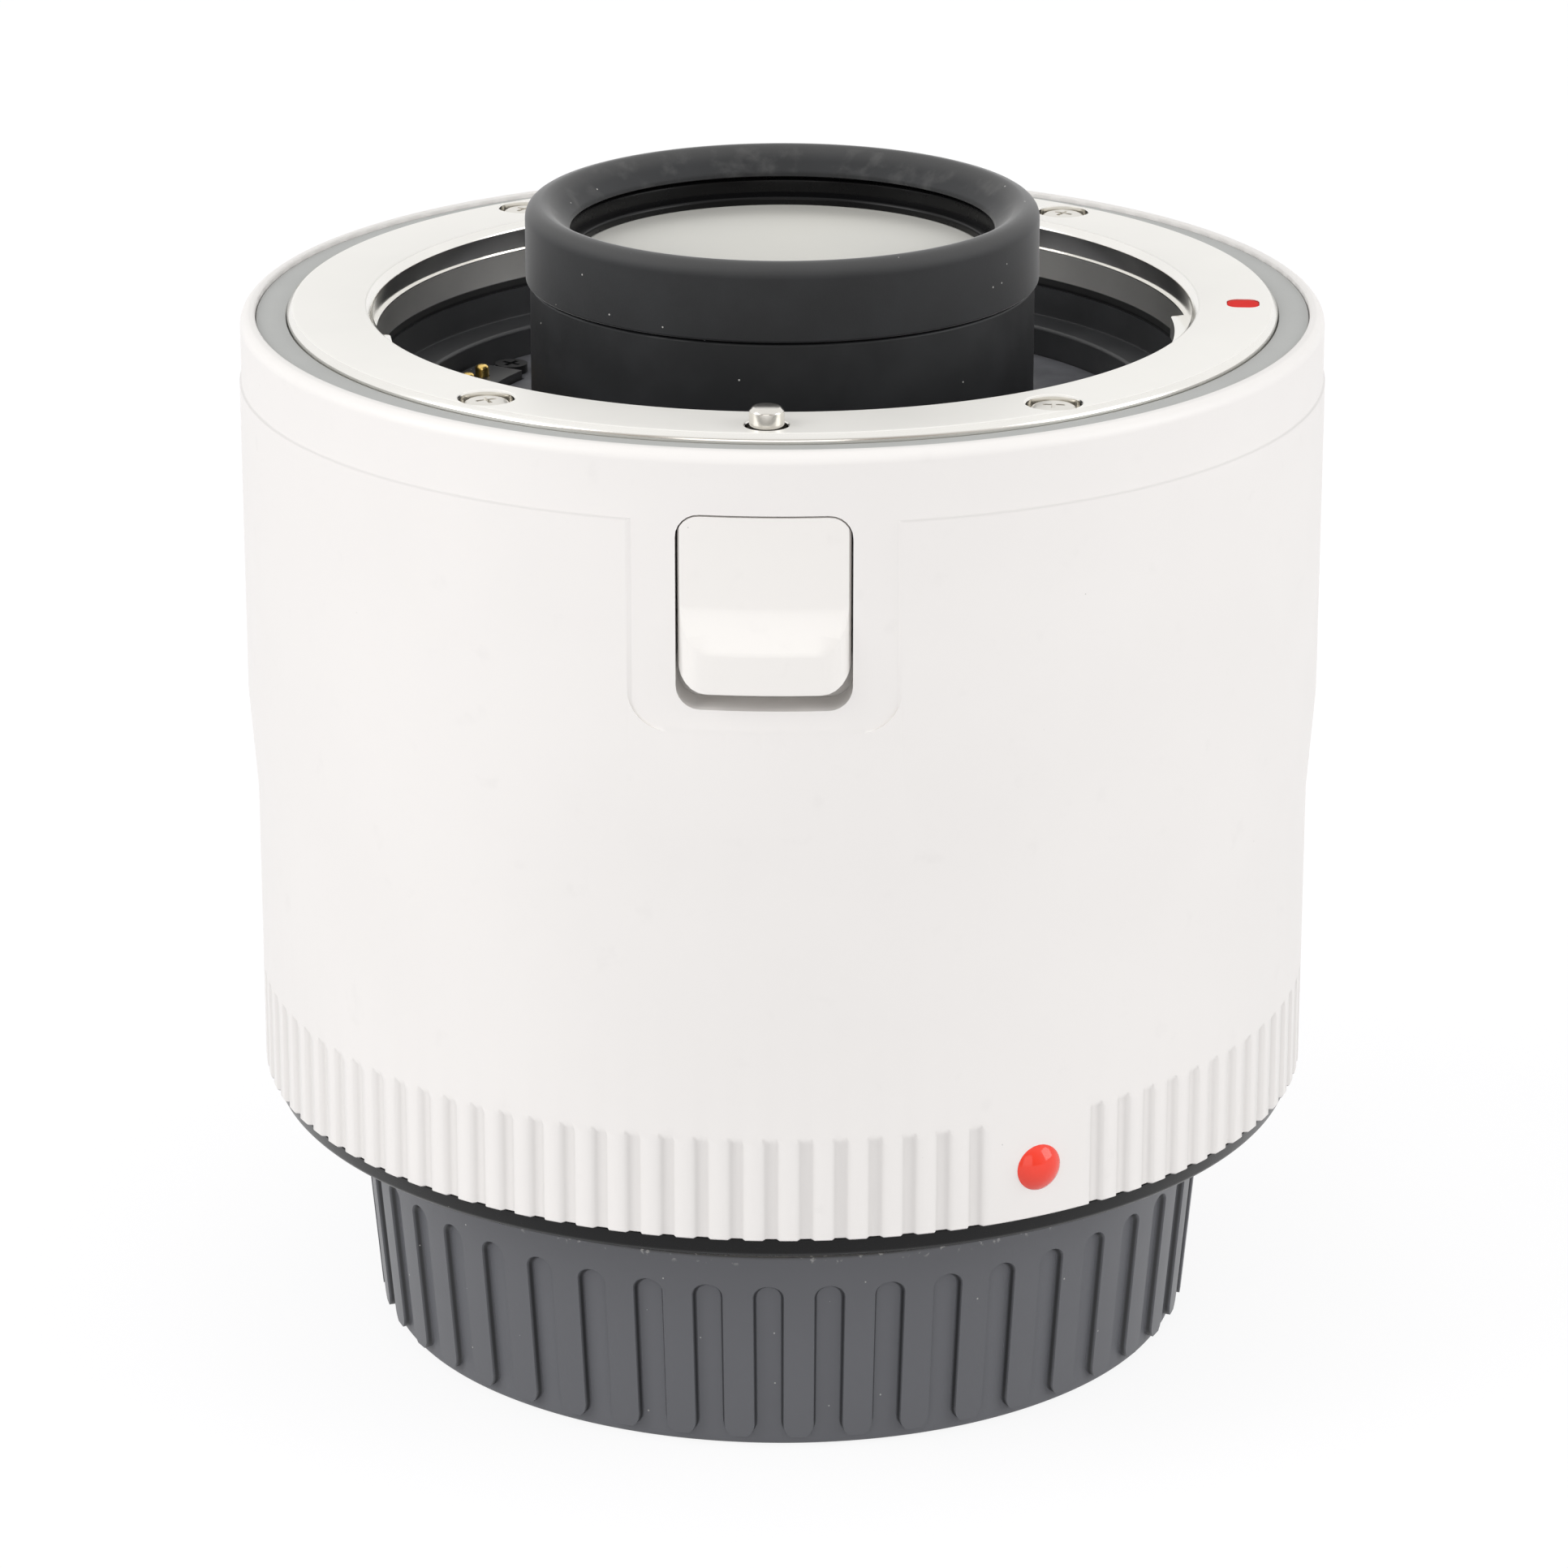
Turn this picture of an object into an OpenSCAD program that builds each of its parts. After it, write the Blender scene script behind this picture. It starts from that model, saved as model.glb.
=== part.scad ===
// Camera teleconverter with its rear cap.
// Z is the optical axis and +Z points to the lens side. The origin is the centre of the cap's base.
// The release button faces -Y. Angles named az run from -Y towards +X. Sizes are millimetres.

/* [Barrel] */
// Widest diameter of the white barrel
barrel_d = 71.8; // [70.8:0.1:75]
// Step in radius from the barrel down to the grip end
grip_step = 0.5; // [0.1:0.05:1.2]
// Wall of the barrel at the grip end
barrel_wall = 2.4; // [2:0.1:2.8]
// Distance between the front and rear mount faces
register = 57; // [55:0.1:62]
// Length of the grooved grip end
grip_h = 7.1; // [4:0.1:10]
// Distance from the front face down to the top of the taper
taper_drop = 26; // [22:0.1:28]
// Height of the taper down to the grip end
taper_h = 7; // [4:0.1:10]
// Number of groove places around the grip
groove_n = 100; // [60:1:105]
// Width of one groove
groove_w = 1.05; // [0.6:0.05:1.3]
// Depth of one groove
groove_depth = 0.3; // [0.15:0.05:0.5]
// Step in radius at the top band and around the button
band_step = 0.12; // [0.05:0.01:0.3]
// Distance from the front face down to the edge of the band
band_drop = 4.75; // [4.4:0.05:6]
// Width of the tongue of the band around the button
tongue_w = 17; // [15:0.1:20]
// Margin of the tongue below the window
tongue_margin = 1.5; // [1:0.1:3]
// Corner radius of the tongue and its window
tongue_corner = 2.6; // [1.5:0.1:4]
// Width of the white rim around the grey ring
rim_w = 1; // [0.8:0.05:1.3]
// Depth of the white rim below the front face
rim_drop = 0.3; // [0.1:0.05:0.5]
// Rounding of the white rim
rim_round = 0.8; // [0.3:0.05:0.9]
// Depth of the grey trim ring below the front face
trim_drop = 0.6; // [0.4:0.05:0.9]
// Thickness of the shelf that the front mount is screwed to
mount_shelf_t = 3.9; // [3:0.1:4.5]
// Distance from the top of the lens tube down to the shelf that carries it
tube_shelf_drop = 11; // [9:0.1:13]
// Thickness of the shelf that carries the lens tube
tube_shelf_t = 2; // [1.5:0.1:3]

/* [Front mount] */
// Width of the grey trim ring between the white rim and the flange
trim_w = 2.08; // [1.5:0.02:2.6]
// Width of the front flange, from the throat to its edge
flange_w = 5.65; // [5.3:0.05:6.2]
// Thickness of the flange
flange_t = 1.7; // [1.5:0.05:2]
// Bevel around the throat
throat_bevel = 0.45; // [0.2:0.05:0.7]
// Depth of the lugs below the flange face
lug_drop = 1.85; // [1.5:0.05:2.1]
// Thickness of a bayonet lug
lug_t = 1.4; // [1:0.05:1.8]
// Reach of a lug into the throat
lug_reach = 0.95; // [0.5:0.05:1.2]
// Step of the lip between the lugs
lip_step = 0.2; // [0.1:0.05:0.5]
// Angle that a lug takes up
lug_span = 56; // [45:1:58]
// Direction of the first lug
lug_az = 67; // [50:0.1:75]
// Room under the lugs for the lens bayonet
lug_room = 1.05; // [0.8:0.05:1.5]
// Thickness of the leaf spring plate
leaf_t = 0.25; // [0.15:0.05:0.4]
// Distance of the flange screws from the flange edge
screw_inset = 2.2; // [2:0.05:2.6]
// Head diameter of the flange screws
screw_head_d = 2.9; // [2.4:0.05:3.1]
// Thread diameter of the flange screws
screw_d = 1.6; // [1.2:0.05:1.8]
// Direction of the flange screws next to the button
screw_az_near = 35.5; // [25:0.5:45]
// Direction of the flange screws opposite the button
screw_az_far = 142; // [130:0.5:155]
// Width of the red index mark on the flange
index_w = 2.15; // [1.5:0.05:2.6]
// Direction of the red index mark
index_az = 89; // [80:0.5:100]

/* [Throat and contacts] */
// Step in radius from the throat in to the black liner
liner_step = 2.55; // [2.2:0.05:3]
// Wall of the throat liner
liner_wall = 1; // [0.8:0.05:1.4]
// Depth of the liner's floor below the leaf spring plate
liner_depth = 4.05; // [3.6:0.05:5]
// Depth of the liner's ledge below the leaf spring plate
ledge_drop = 2.05; // [1.5:0.05:2.4]
// Number of contact pins
contact_n = 8; // [5:1:8]
// Diameter of a contact pin
contact_d = 0.95; // [0.7:0.05:1.1]
// Angle from one contact pin to the next
contact_pitch = 5.87; // [5.6:0.01:6.2]
// Direction of the middle of the contact row
contact_az = -92.6; // [-100:0.1:-85]
// Distance of the contact pins from the liner wall
contact_inset = 2; // [1.8:0.05:2.4]
// Height of the contact pins above their block
contact_out = 0.8; // [0.6:0.05:1.2]
// Height of the contact block above the liner's floor
block_rise = 0.6; // [0.3:0.05:1]
// Depth of the contact block below the liner's floor
block_depth = 4; // [3.4:0.1:4.6]
// Thickness of the circuit board
board_t = 0.8; // [0.6:0.05:1.2]
// Width of the flex cable
flex_w = 8; // [5:0.1:10]

/* [Release] */
// Width of the button window
window_w = 10.95; // [9:0.05:12]
// Height of the button window
window_h = 12.55; // [11:0.05:13]
// Distance from the front face down to the window
window_drop = 4.3; // [4:0.05:5]
// Travel of the release button
release_travel = 1.2; // [0.9:0.05:1.5]
// Gap around the button
button_gap = 0.12; // [0.08:0.01:0.3]
// Height of the finger ridge on the button
ridge_h = 2.6; // [2:0.1:3.2]
// Height of the hollow ramp above the ridge
ramp_h = 2.8; // [2:0.1:3.4]
// Distance that the ridge stands out from the band
ridge_out = 0.95; // [0.5:0.05:1.2]
// Diameter of the lock pin
lock_d = 2.2; // [1.8:0.05:2.4]
// Height of the lock pin above the flange face
lock_out = 1.15; // [0.9:0.05:1.2]
// Distance of the lock pin from the flange edge
lock_inset = 2.3; // [2:0.05:2.4]

/* [Optics] */
// Gap between the contact block and the lens tube
tube_gap = 1.24; // [0.6:0.02:2]
// Wall of the lens tube, which the front barrel fits into
tube_wall = 2.8; // [2:0.1:3.4]
// Height of the front barrel's seam above the front face
nose_out = 1.3; // [1:0.05:2.5]
// Extra radius of the rubber bumper over the front barrel
bumper_step = 0.28; // [0.1:0.02:0.4]
// Height of the rubber bumper
bumper_h = 5.3; // [5:0.1:7]
// Wall of the front barrel inside the bumper
nose_lip = 0.7; // [0.5:0.05:0.9]
// Wall of the front barrel
nose_wall = 1.6; // [1.3:0.05:2]
// Depth of the front barrel below the liner's floor
nose_depth = 6; // [5:0.1:7]
// Thickness of the flange of the lens tube
tube_flange_t = 2; // [1.5:0.1:2.5]
// Width of the rim that a spacer or ring covers on a lens
lens_rim = 1.9; // [1.4:0.1:2.4]
// Height of the rear retaining ring
rear_ring_h = 2; // [1.5:0.1:3]

/* [Rear mount and cap] */
// Step in radius from the grip end in to the rear mount flange
rear_step = 4; // [3:0.1:5]
// Width of the rear mount flange, from the bayonet tube to its edge
rear_flange_w = 6.4; // [6:0.1:7]
// Height of the rear mount's raised land above the collar
rear_flange_t = 2.95; // [2.4:0.05:3.4]
// Thickness of the rear mount flange around the land
rear_rim_t = 1.2; // [1:0.05:1.6]
// Wall of the rear bayonet tube
bayonet_wall = 2.5; // [2:0.1:3]
// Length of the rear bayonet tube
bayonet_h = 5; // [4.4:0.1:5.4]
// Reach of the rear bayonet lugs
bayonet_lug_reach = 1.7; // [1.3:0.05:1.8]
// Thickness of the rear bayonet lugs
bayonet_lug_t = 1.4; // [1:0.05:1.6]
// Angle that a rear bayonet lug takes up
bayonet_lug_span = 40; // [30:1:45]
// Visible height of the black collar
collar_lip = 1.5; // [1.2:0.05:2.2]
// Height of the cap
cap_h = 13.5; // [12.8:0.1:16]
// Wall of the cap at its open end
cap_wall = 1.9; // [1.5:0.05:2.2]
// Draft of the cap's radius down to its base
cap_draft = 1.45; // [0.4:0.05:1.8]
// Height of the cap's lip around the rear mount
cap_lip_h = 0.6; // [0.3:0.05:1]
// Floor of the cap
cap_floor = 1.6; // [1.2:0.1:2.4]
// Number of flutes around the cap
flute_n = 45; // [30:1:48]
// Width of a flute
flute_w = 1.85; // [1.2:0.05:2.2]
// Depth of a flute
flute_depth = 0.4; // [0.2:0.02:0.5]
// Plain band above the flutes
flute_band = 2.3; // [1.2:0.1:4]
// Height of the plain foot below the ribs
cap_foot = 1.3; // [0.8:0.1:2]
// Diameter of the red index dome on the grip
dome_d = 3.15; // [2:0.05:4]
// Height of the red index dome
dome_h = 0.6; // [0.3:0.05:1]
// Direction of the red index dome
dome_az = 29.45; // [20:0.05:40]

/* [Hidden] */
$fn = 96;
// Small gap between fixed pieces, and running gap of pins in their holes
fit = 0.1;
run = 0.05;
// Room between the cap and the rear mount
cap_gap = 0.1;
cap_room = 0.35;
// Gap of the cement between lens elements
cement = 0.02;
// Extra length of a cut so that it passes clean through a face
over = 1;

// Radii, from the barrel inwards
barrel_r = barrel_d / 2;
grip_r = barrel_r - grip_step;
band_r = barrel_r - band_step;
bore_r = grip_r - barrel_wall;
rim_in_r = band_r - rim_w;
rim_fillet = min(rim_round, rim_w - fit);
flange_r = rim_in_r - trim_w;
throat_r = flange_r - flange_w;
lip_r = throat_r - lip_step;
lug_r = lip_r - lug_reach;
ring_wall = 1.6;
ring_r = throat_r + ring_wall;
screw_r = flange_r - screw_inset;
lock_r = flange_r - lock_inset;
liner_r = throat_r - liner_step;
contact_r = liner_r - contact_inset;
block_half_w = 1.7;
block_in_r = contact_r - block_half_w;
block_out_r = contact_r + block_half_w;
tube_r = block_in_r - tube_gap;
tube_bore_r = tube_r - tube_wall;
nose_r = tube_bore_r - fit;
bumper_r = nose_r + bumper_step;
nose_bore_r = nose_r - nose_wall;
nose_lip_r = nose_bore_r + nose_lip;
tube_flange_gap = 1.1;
tube_flange_r = ring_r - tube_flange_gap;
tube_shelf_lap = 3.6;
tube_shelf_r = tube_flange_r - tube_shelf_lap;
rear_flange_r = grip_r - rear_step;
bayonet_r = rear_flange_r - rear_flange_w;
bayonet_bore_r = bayonet_r - bayonet_wall;
bayonet_lug_r = bayonet_r + bayonet_lug_reach;
cap_bore_r = bayonet_lug_r + cap_room;
cap_r = cap_bore_r + cap_wall;
collar_gap = 2.2;
collar_in_r = bayonet_r + collar_gap;

// Levels along the optical axis
z_rear = cap_h + cap_gap;
z_front = z_rear + register;
z_seat = z_front - flange_t;
z_lug = z_front - lug_drop;
z_ring = z_lug - lug_t - lug_room;
z_ledge = z_ring - leaf_t;
z_liner_ledge = z_ledge - ledge_drop;
z_floor = z_ledge - liner_depth;
z_floor_low = z_floor - liner_wall;
z_under = z_seat - mount_shelf_t;
clamp_ring_t = 2;
z_tube = z_floor_low - clamp_ring_t;
z_tube_shelf = z_tube - tube_shelf_drop;
z_collar = z_rear + rear_flange_t;
z_white = z_collar + collar_lip;
tube_lift = 3.8;
z_tube_low = z_collar + tube_lift;
z_taper = z_front - taper_drop;
z_band = z_front - band_drop;
z_window = z_front - window_drop;
z_window_low = z_window - window_h;
z_button = z_window - button_gap;
z_button_low = z_window_low + release_travel + button_gap;
z_seam = z_front + nose_out;
z_top = z_seam + bumper_h;
z_nose_low = z_floor_low - nose_depth + liner_wall;

// Release slide behind the button
slide_room = 0.4;
button_back = 0.25;
button_in_r = bore_r - button_back;
pocket_room = 0.3;
pocket_y = sqrt(button_in_r * button_in_r - window_w * window_w / 4) - pocket_room;
carrier_reach = 1.8;
carrier_in_r = lock_r - carrier_reach;
carrier_w = 8;
carrier_lift = 1;
z_carrier = z_under - slide_room;
z_carrier_low = z_button_low + carrier_lift;
release_wire_r = 0.18;
release_coil_r = 1.25;
release_turns = 6;
spring_peg_h = 2.5;

// Contact block, its pins and the wiring
block_end = 6.5;
block_room_az = 0.5;
block_span = contact_pitch * (contact_n - 1) + 2 * block_end;
ear_end = 6;
ear_inset = 0.2;
ear_span = block_span + 2 * ear_end;
ear_az = (block_span + ear_end) / 2;
z_block = z_floor + block_rise;
z_block_low = z_floor_low - block_depth;
plate_t = 1.7;
shoulder_step = 0.3;
shoulder_r = contact_d / 2 + shoulder_step;
shoulder_t = 0.65;
well_r = shoulder_r + fit;
z_well = z_block - plate_t;
z_shoulder = z_well - run - shoulder_t;
contact_wire_r = 0.09;
contact_coil_step = 0.02;
contact_coil_r = contact_d / 2 + contact_coil_step;
contact_turns = 3;
board_gap = 0.6;
board_in_r = tube_r + board_gap;
board_out_r = liner_r + liner_wall - fit;
z_board = z_block_low - board_t;
chip_w = 5;
chip_t = 0.9;
flex_t = 0.2;
flex_gap_r = 0.7;
flex_r = liner_r + liner_wall + flex_gap_r;
flex_lap = 1;
flex_slot = 0.8;
block_screw_d = 1.2;
block_head_d = 2.2;
block_head_t = 0.6;

// Front glass and its ring
ring_t = 1.6;
ring_w = 1.4;
ring_drop = 2.1;
z_front_ring = z_top - ring_drop;
z_glass = z_front_ring - ring_t;
front_rim_r = nose_bore_r - fit / 2 - ring_w;
bumper_lip = 1.8;
nose_tip = z_top - bumper_lip;

// Each lens: edge height, dish of its upper face and of its lower face; a dish above 0 bulges up
LENS = [
    [5.6, -1.6, 2.5], [1.9, 2.5, 0.5],
    [3.5, 2.2, -1.1], [3.5, -1.1, 0.9], [3.5, 0.9, -1.5],
    [3.5, -1.3, 1.3],
    [3, 1.7, -1.9], [3, -1.9, -1.5],
    [3.5, -2.2, -0.9]
];
// Heights of the spacers under the front barrel, the triplet and the singlet
SPACER = [2, 2.5, 2.5];
FRONT_LENSES = 2;
LAST_LENS = len(LENS) - 1;
function lens_gap(i) = i == 5 ? SPACER[1] : i == 6 ? SPACER[2] : cement;
function lens_top(i) =
    i == 0 ? z_glass :
    i == FRONT_LENSES ? z_nose_low - SPACER[0] :
    i == LAST_LENS ? z_tube_low + rear_ring_h + LENS[i][0] :
    lens_low(i - 1) - lens_gap(i);
function lens_low(i) = lens_top(i) - LENS[i][0];
function lens_r(i) = (i < FRONT_LENSES ? nose_bore_r : tube_bore_r) - fit / 2;
function clear_r(i) = i < FRONT_LENSES ? front_rim_r - fit : tube_bore_r - lens_rim - fit;
z_nose_seat = lens_low(FRONT_LENSES - 1);

// Rear contacts
pad_t = 0.2;
pad_inset = 0.8;
rear_block_w = 3.9;
rear_block_h = 7;
rear_lip_w = 1.5;
rear_lip_t = 0.8;
rear_block_in_r = bayonet_bore_r - rear_block_w;
z_rear_block = z_collar + rear_lip_t;
z_rear_block_low = z_rear_block - rear_block_h;
rear_screw_n = 4;
cap_lip_t = 0.6;
rear_land_gap = 0.2;
rear_land_r = cap_r - cap_lip_t - rear_land_gap;
z_rear_rim = z_collar - rear_rim_t;
rear_screw_r = (rear_land_r + rear_flange_r) / 2;
rear_screw_d = 1.6;
rear_head_d = 2.4;
rear_head_t = 0.6;
rear_screw_grip = 2.4;
rear_screw_l = rear_rim_t + collar_lip + rear_screw_grip;
collar_plug = 3.2;

// Cap lugs under the rear bayonet lugs
cap_lug_gap = 0.35;
cap_lug_t = 1.4;
cap_lug_end = 4;
cap_lug_span = bayonet_lug_span - cap_lug_end;
z_bayonet = z_rear - bayonet_h;
z_cap_lug = z_bayonet + bayonet_lug_t + cap_lug_gap;
cap_step_gap = 1;
cap_step_w = 1.6;
z_cap_step = z_bayonet - cap_step_gap;
cap_step_r = cap_bore_r - cap_step_w;
cap_foot_r = cap_r - cap_draft - flute_depth;
z_flute = cap_h + cap_lip_h - flute_band;
z_cap_lip = cap_h + cap_lip_h;
function cap_at(z) = cap_r - cap_draft * (1 - z / z_cap_lip);

LUGS = [0, 120, 240];
leaf_end = 18;
SCREW_AZ = [-screw_az_far, -screw_az_near, screw_az_near, screw_az_far];

// Moves its children out from the axis to a radius in direction az, with their -Y still outwards
module at(az, r, z = 0) {
    rotate([0, 0, az]) translate([0, -r, z]) children();
}

// A ring, and a sector of a ring centred on az
module ring(r_in, r_out, z_low, z_high) {
    rotate_extrude() translate([r_in, z_low]) square([r_out - r_in, z_high - z_low]);
}
module sector(az, span, r_in, r_out, z_low, z_high) {
    rotate([0, 0, az - 90 - span / 2])
        rotate_extrude(angle = span)
            translate([r_in, z_low]) square([r_out - r_in, z_high - z_low]);
}

// A flat outline with round corners, and a plate of it that stands in XZ and reaches from r_in out to r_out
module round_rect(w, h, corner) {
    c = min(corner, w / 2 - fit);
    translate([-w / 2, c - h / 2]) square([w, h - 2 * c]);
    translate([c - w / 2, -h / 2]) square([w - 2 * c, h]);
    for (x = [c - w / 2, w / 2 - c], y = [c - h / 2, h / 2 - c])
        translate([x, y]) circle(c);
}
module front_plate(w, z_low, z_high, corner, r_in, r_out) {
    translate([0, -r_in, (z_low + z_high) / 2])
        rotate([90, 0, 0])
            linear_extrude(r_out - r_in) round_rect(w, z_high - z_low, corner);
}

// A coil spring along Z from 0 to h, as one unbroken wire
module coil(r, wire_r, h, turns, steps, sides) {
    n = turns * steps;
    points = [
        for (i = [0 : n], j = [0 : sides - 1])
            let (a = 360 * i / steps, b = 360 * j / sides, d = r + wire_r * cos(b))
                [d * cos(a), d * sin(a), wire_r + (h - 2 * wire_r) * i / n + wire_r * sin(b)]
    ];
    walls = [
        for (i = [0 : n - 1], j = [0 : sides - 1], half = [0, 1])
            let (a = i * sides + j, b = i * sides + (j + 1) % sides)
                half == 0 ? [a, b, b + sides] : [a, b + sides, a + sides]
    ];
    first = [for (j = [1 : sides - 2]) [0, j + 1, j]];
    last = [for (j = [1 : sides - 2]) [n * sides, n * sides + j, n * sides + j + 1]];
    polyhedron(points = points, faces = concat(walls, first, last));
}

// A screw along +Z with its head's top face at 0, and a cross cut in the head
module cross_screw(head_d, head_t, d, length) {
    slot_w = head_d * 0.14;
    slot_l = head_d * 0.62;
    difference() {
        union() {
            translate([0, 0, -head_t]) cylinder(d = head_d, h = head_t);
            translate([0, 0, -length]) cylinder(d = d, h = length - head_t);
        }
        for (a = [0, 90])
            rotate([0, 0, a])
                translate([-slot_l / 2, -slot_w / 2, -head_t / 2]) cube([slot_l, slot_w, head_t]);
    }
}

// Height of a dished face above its edge at distance x from the axis
function dish_z(x, r, dish) =
    x >= r || dish == 0 ? 0 :
    let (radius = (r * r + dish * dish) / (2 * abs(dish)))
        sign(dish) * (sqrt(radius * radius - x * x) - radius + abs(dish));

// Small fasteners and marks
mount_screw_head_t = 0.9;
mount_screw_grip = 2.4;
mount_screw_length = flange_t + mount_screw_grip;
counterbore_drop = 0.15;
counterbore_gap = 0.3;
counterbore_t = mount_screw_head_t + counterbore_drop;
counterbore_r = screw_head_d / 2 + counterbore_gap;
index_t = 0.4;
index_corner = 0.7;
stem_step = 0.4;
stem_r = dome_d / 2 - stem_step;
stem_l = 1;
dome_z = z_white + grip_h / 2 - fit;
dome_seat_r = grip_r - dome_d * dome_d / (8 * grip_r) - run;
tube_screw_r = tube_shelf_r + tube_shelf_lap / 2;
TUBE_SCREW_AZ = [60, 180, 300];

module grooves() {
    pitch = 360 / groove_n;
    for (k = [2 : groove_n - 2])
        at(dome_az + k * pitch, grip_r + over, z_white - over)
            translate([-groove_w / 2, 0, 0]) cube([groove_w, over + groove_depth, grip_h + over]);
}

module barrel_profile() {
    polygon(concat(
        [[bore_r, z_white], [grip_r, z_white], [grip_r, z_taper - taper_h],
         [barrel_r, z_taper], [barrel_r, z_band], [band_r, z_band]],
        [for (a = [0 : 15 : 90])
            [band_r - rim_fillet * (1 - cos(a)), z_front - rim_drop - rim_fillet * (1 - sin(a))]],
        [[rim_in_r, z_front - rim_drop], [rim_in_r, z_seat], [ring_r + fit, z_seat],
         [ring_r + fit, z_under], [bore_r, z_under], [bore_r, z_tube_shelf],
         [tube_shelf_r, z_tube_shelf], [tube_shelf_r, z_tube_shelf - tube_shelf_t],
         [bore_r, z_tube_shelf - tube_shelf_t]]
    ));
}

module flex_gap(z_low, z_high) {
    at(contact_az, flex_r + flex_t + flex_slot / 2, z_low)
        translate([-flex_w / 2 - flex_slot, 0, 0])
            cube([flex_w + 2 * flex_slot, flex_t + flex_slot, z_high - z_low]);
}

module main_barrel() {
    color("white") {
        difference() {
            rotate_extrude() barrel_profile();
            // Recessed tongue of the band around the button
            intersection() {
                ring(band_r, barrel_r + over, z_window_low - tongue_margin - over, z_band + over);
                front_plate(tongue_w, z_window_low - tongue_margin, z_band + tongue_corner + over,
                            tongue_corner, bore_r, barrel_r + over);
            }
            front_plate(window_w, z_window_low, z_window, tongue_corner / 2, pocket_y, barrel_r + over);
            grooves();
            at(0, lock_r, z_under - over)
                cylinder(r = lock_d / 2 + 3 * run, h = mount_shelf_t + 2 * over);
            for (az = SCREW_AZ)
                at(az, screw_r, z_front - mount_screw_length)
                    cylinder(d = screw_d, h = mount_screw_length);
            for (az = TUBE_SCREW_AZ)
                at(az, tube_screw_r, z_tube_shelf - tube_shelf_t - over)
                    cylinder(d = screw_d, h = tube_shelf_t + 2 * over);
            flex_gap(z_tube_shelf - tube_shelf_t - over, z_tube_shelf + over);
            // Seat of the index dome
            at(dome_az, 0, dome_z) rotate([90, 0, 0]) {
                cylinder(r = stem_r, h = barrel_r);
                translate([0, 0, dome_seat_r]) cylinder(d = dome_d + fit, h = over);
            }
        }
        // Peg that keeps the release spring in place
        at(0, lock_r, z_tube_shelf - tube_shelf_t / 2)
            cylinder(r = release_coil_r - release_wire_r - fit, h = spring_peg_h + tube_shelf_t / 2);
    }
}

module trim_ring() {
    color("silver") ring(flange_r + run, rim_in_r - run, z_seat, z_front - trim_drop);
}

module front_mount_ring() {
    edge = 0.3;
    color("gainsboro") difference() {
        union() {
            rotate_extrude() polygon([
                [throat_r, z_front - throat_bevel], [throat_r + throat_bevel, z_front],
                [flange_r - edge, z_front], [flange_r, z_front - edge], [flange_r, z_seat],
                [ring_r, z_seat], [ring_r, z_ring], [lip_r, z_ring], [lip_r, z_lug], [throat_r, z_lug]
            ]);
            for (a = LUGS)
                sector(lug_az + a, lug_span, lug_r, throat_r, z_lug - lug_t, z_lug);
        }
        for (az = SCREW_AZ)
            at(az, screw_r) {
                translate([0, 0, z_seat - over]) cylinder(d = screw_d + fit, h = flange_t + 2 * over);
                translate([0, 0, z_front - counterbore_t])
                    cylinder(r = counterbore_r, h = counterbore_t + over);
            }
        at(0, lock_r, z_seat - over) cylinder(r = lock_d / 2 + 2 * run, h = flange_t + 2 * over);
        at(index_az, lock_r, z_front - index_t)
            linear_extrude(index_t + over) round_rect(index_w, index_w, index_corner);
    }
}

module front_mount_screws() {
    color("gainsboro")
        for (az = SCREW_AZ)
            at(az, screw_r, z_front - counterbore_t + mount_screw_head_t)
                cross_screw(screw_head_d, mount_screw_head_t, screw_d,
                            mount_screw_length - counterbore_t + mount_screw_head_t);
}

module front_index_mark() {
    color("red") at(index_az, lock_r, z_front - index_t)
        linear_extrude(index_t - fit) round_rect(index_w - run, index_w - run, index_corner);
}

module leaf_spring_plate() {
    color("lightsteelblue") {
        ring(throat_r, ring_r, z_ledge, z_ring);
        for (a = LUGS)
            sector(lug_az + a, lug_span - leaf_end, lug_r, throat_r + fit, z_ledge, z_ring);
    }
}

module throat_liner() {
    color("#222222") rotate_extrude() polygon([
        [liner_r, z_floor_low], [liner_r + liner_wall, z_floor_low],
        [liner_r + liner_wall, z_liner_ledge - liner_wall], [lip_r + liner_wall, z_liner_ledge - liner_wall],
        [lip_r + liner_wall, z_ledge - liner_wall], [ring_r, z_ledge - liner_wall],
        [ring_r, z_ledge], [lip_r, z_ledge], [lip_r, z_liner_ledge], [liner_r, z_liner_ledge]
    ]);
}

// Floor of the throat, seated on the clamp ring and open around the contact block
module throat_floor() {
    color("#222222") difference() {
        ring(nose_r + run, liner_r - run, z_floor_low, z_floor);
        sector(contact_az, block_span + 2 * block_room_az, block_in_r - fit, liner_r + over,
               z_floor_low - over, z_floor + over);
        for (side = [-1, 1])
            at(contact_az + side * ear_az, contact_r, z_floor_low - over)
                cylinder(d = block_screw_d + fit, h = liner_wall + 2 * over);
    }
}

// Direction of contact pin i, counted from 1
function pin_az(i) = contact_az + (i - (contact_n + 1) / 2) * contact_pitch;

module front_contact_block() {
    color("#1a1a1a") difference() {
        union() {
            sector(contact_az, block_span, block_in_r, block_out_r, z_block_low, z_block);
            sector(contact_az, ear_span, block_in_r + ear_inset, block_out_r - ear_inset,
                   z_block_low + ear_inset, z_floor_low);
        }
        for (i = [1 : contact_n])
            at(pin_az(i), contact_r) {
                translate([0, 0, z_well - over]) cylinder(d = contact_d + 2 * run, h = plate_t + 2 * over);
                translate([0, 0, z_block_low - over]) cylinder(r = well_r, h = z_well - z_block_low + over);
            }
        for (side = [-1, 1])
            at(contact_az + side * ear_az, contact_r, z_block_low + over)
                cylinder(d = block_screw_d, h = block_depth);
    }
}

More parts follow.
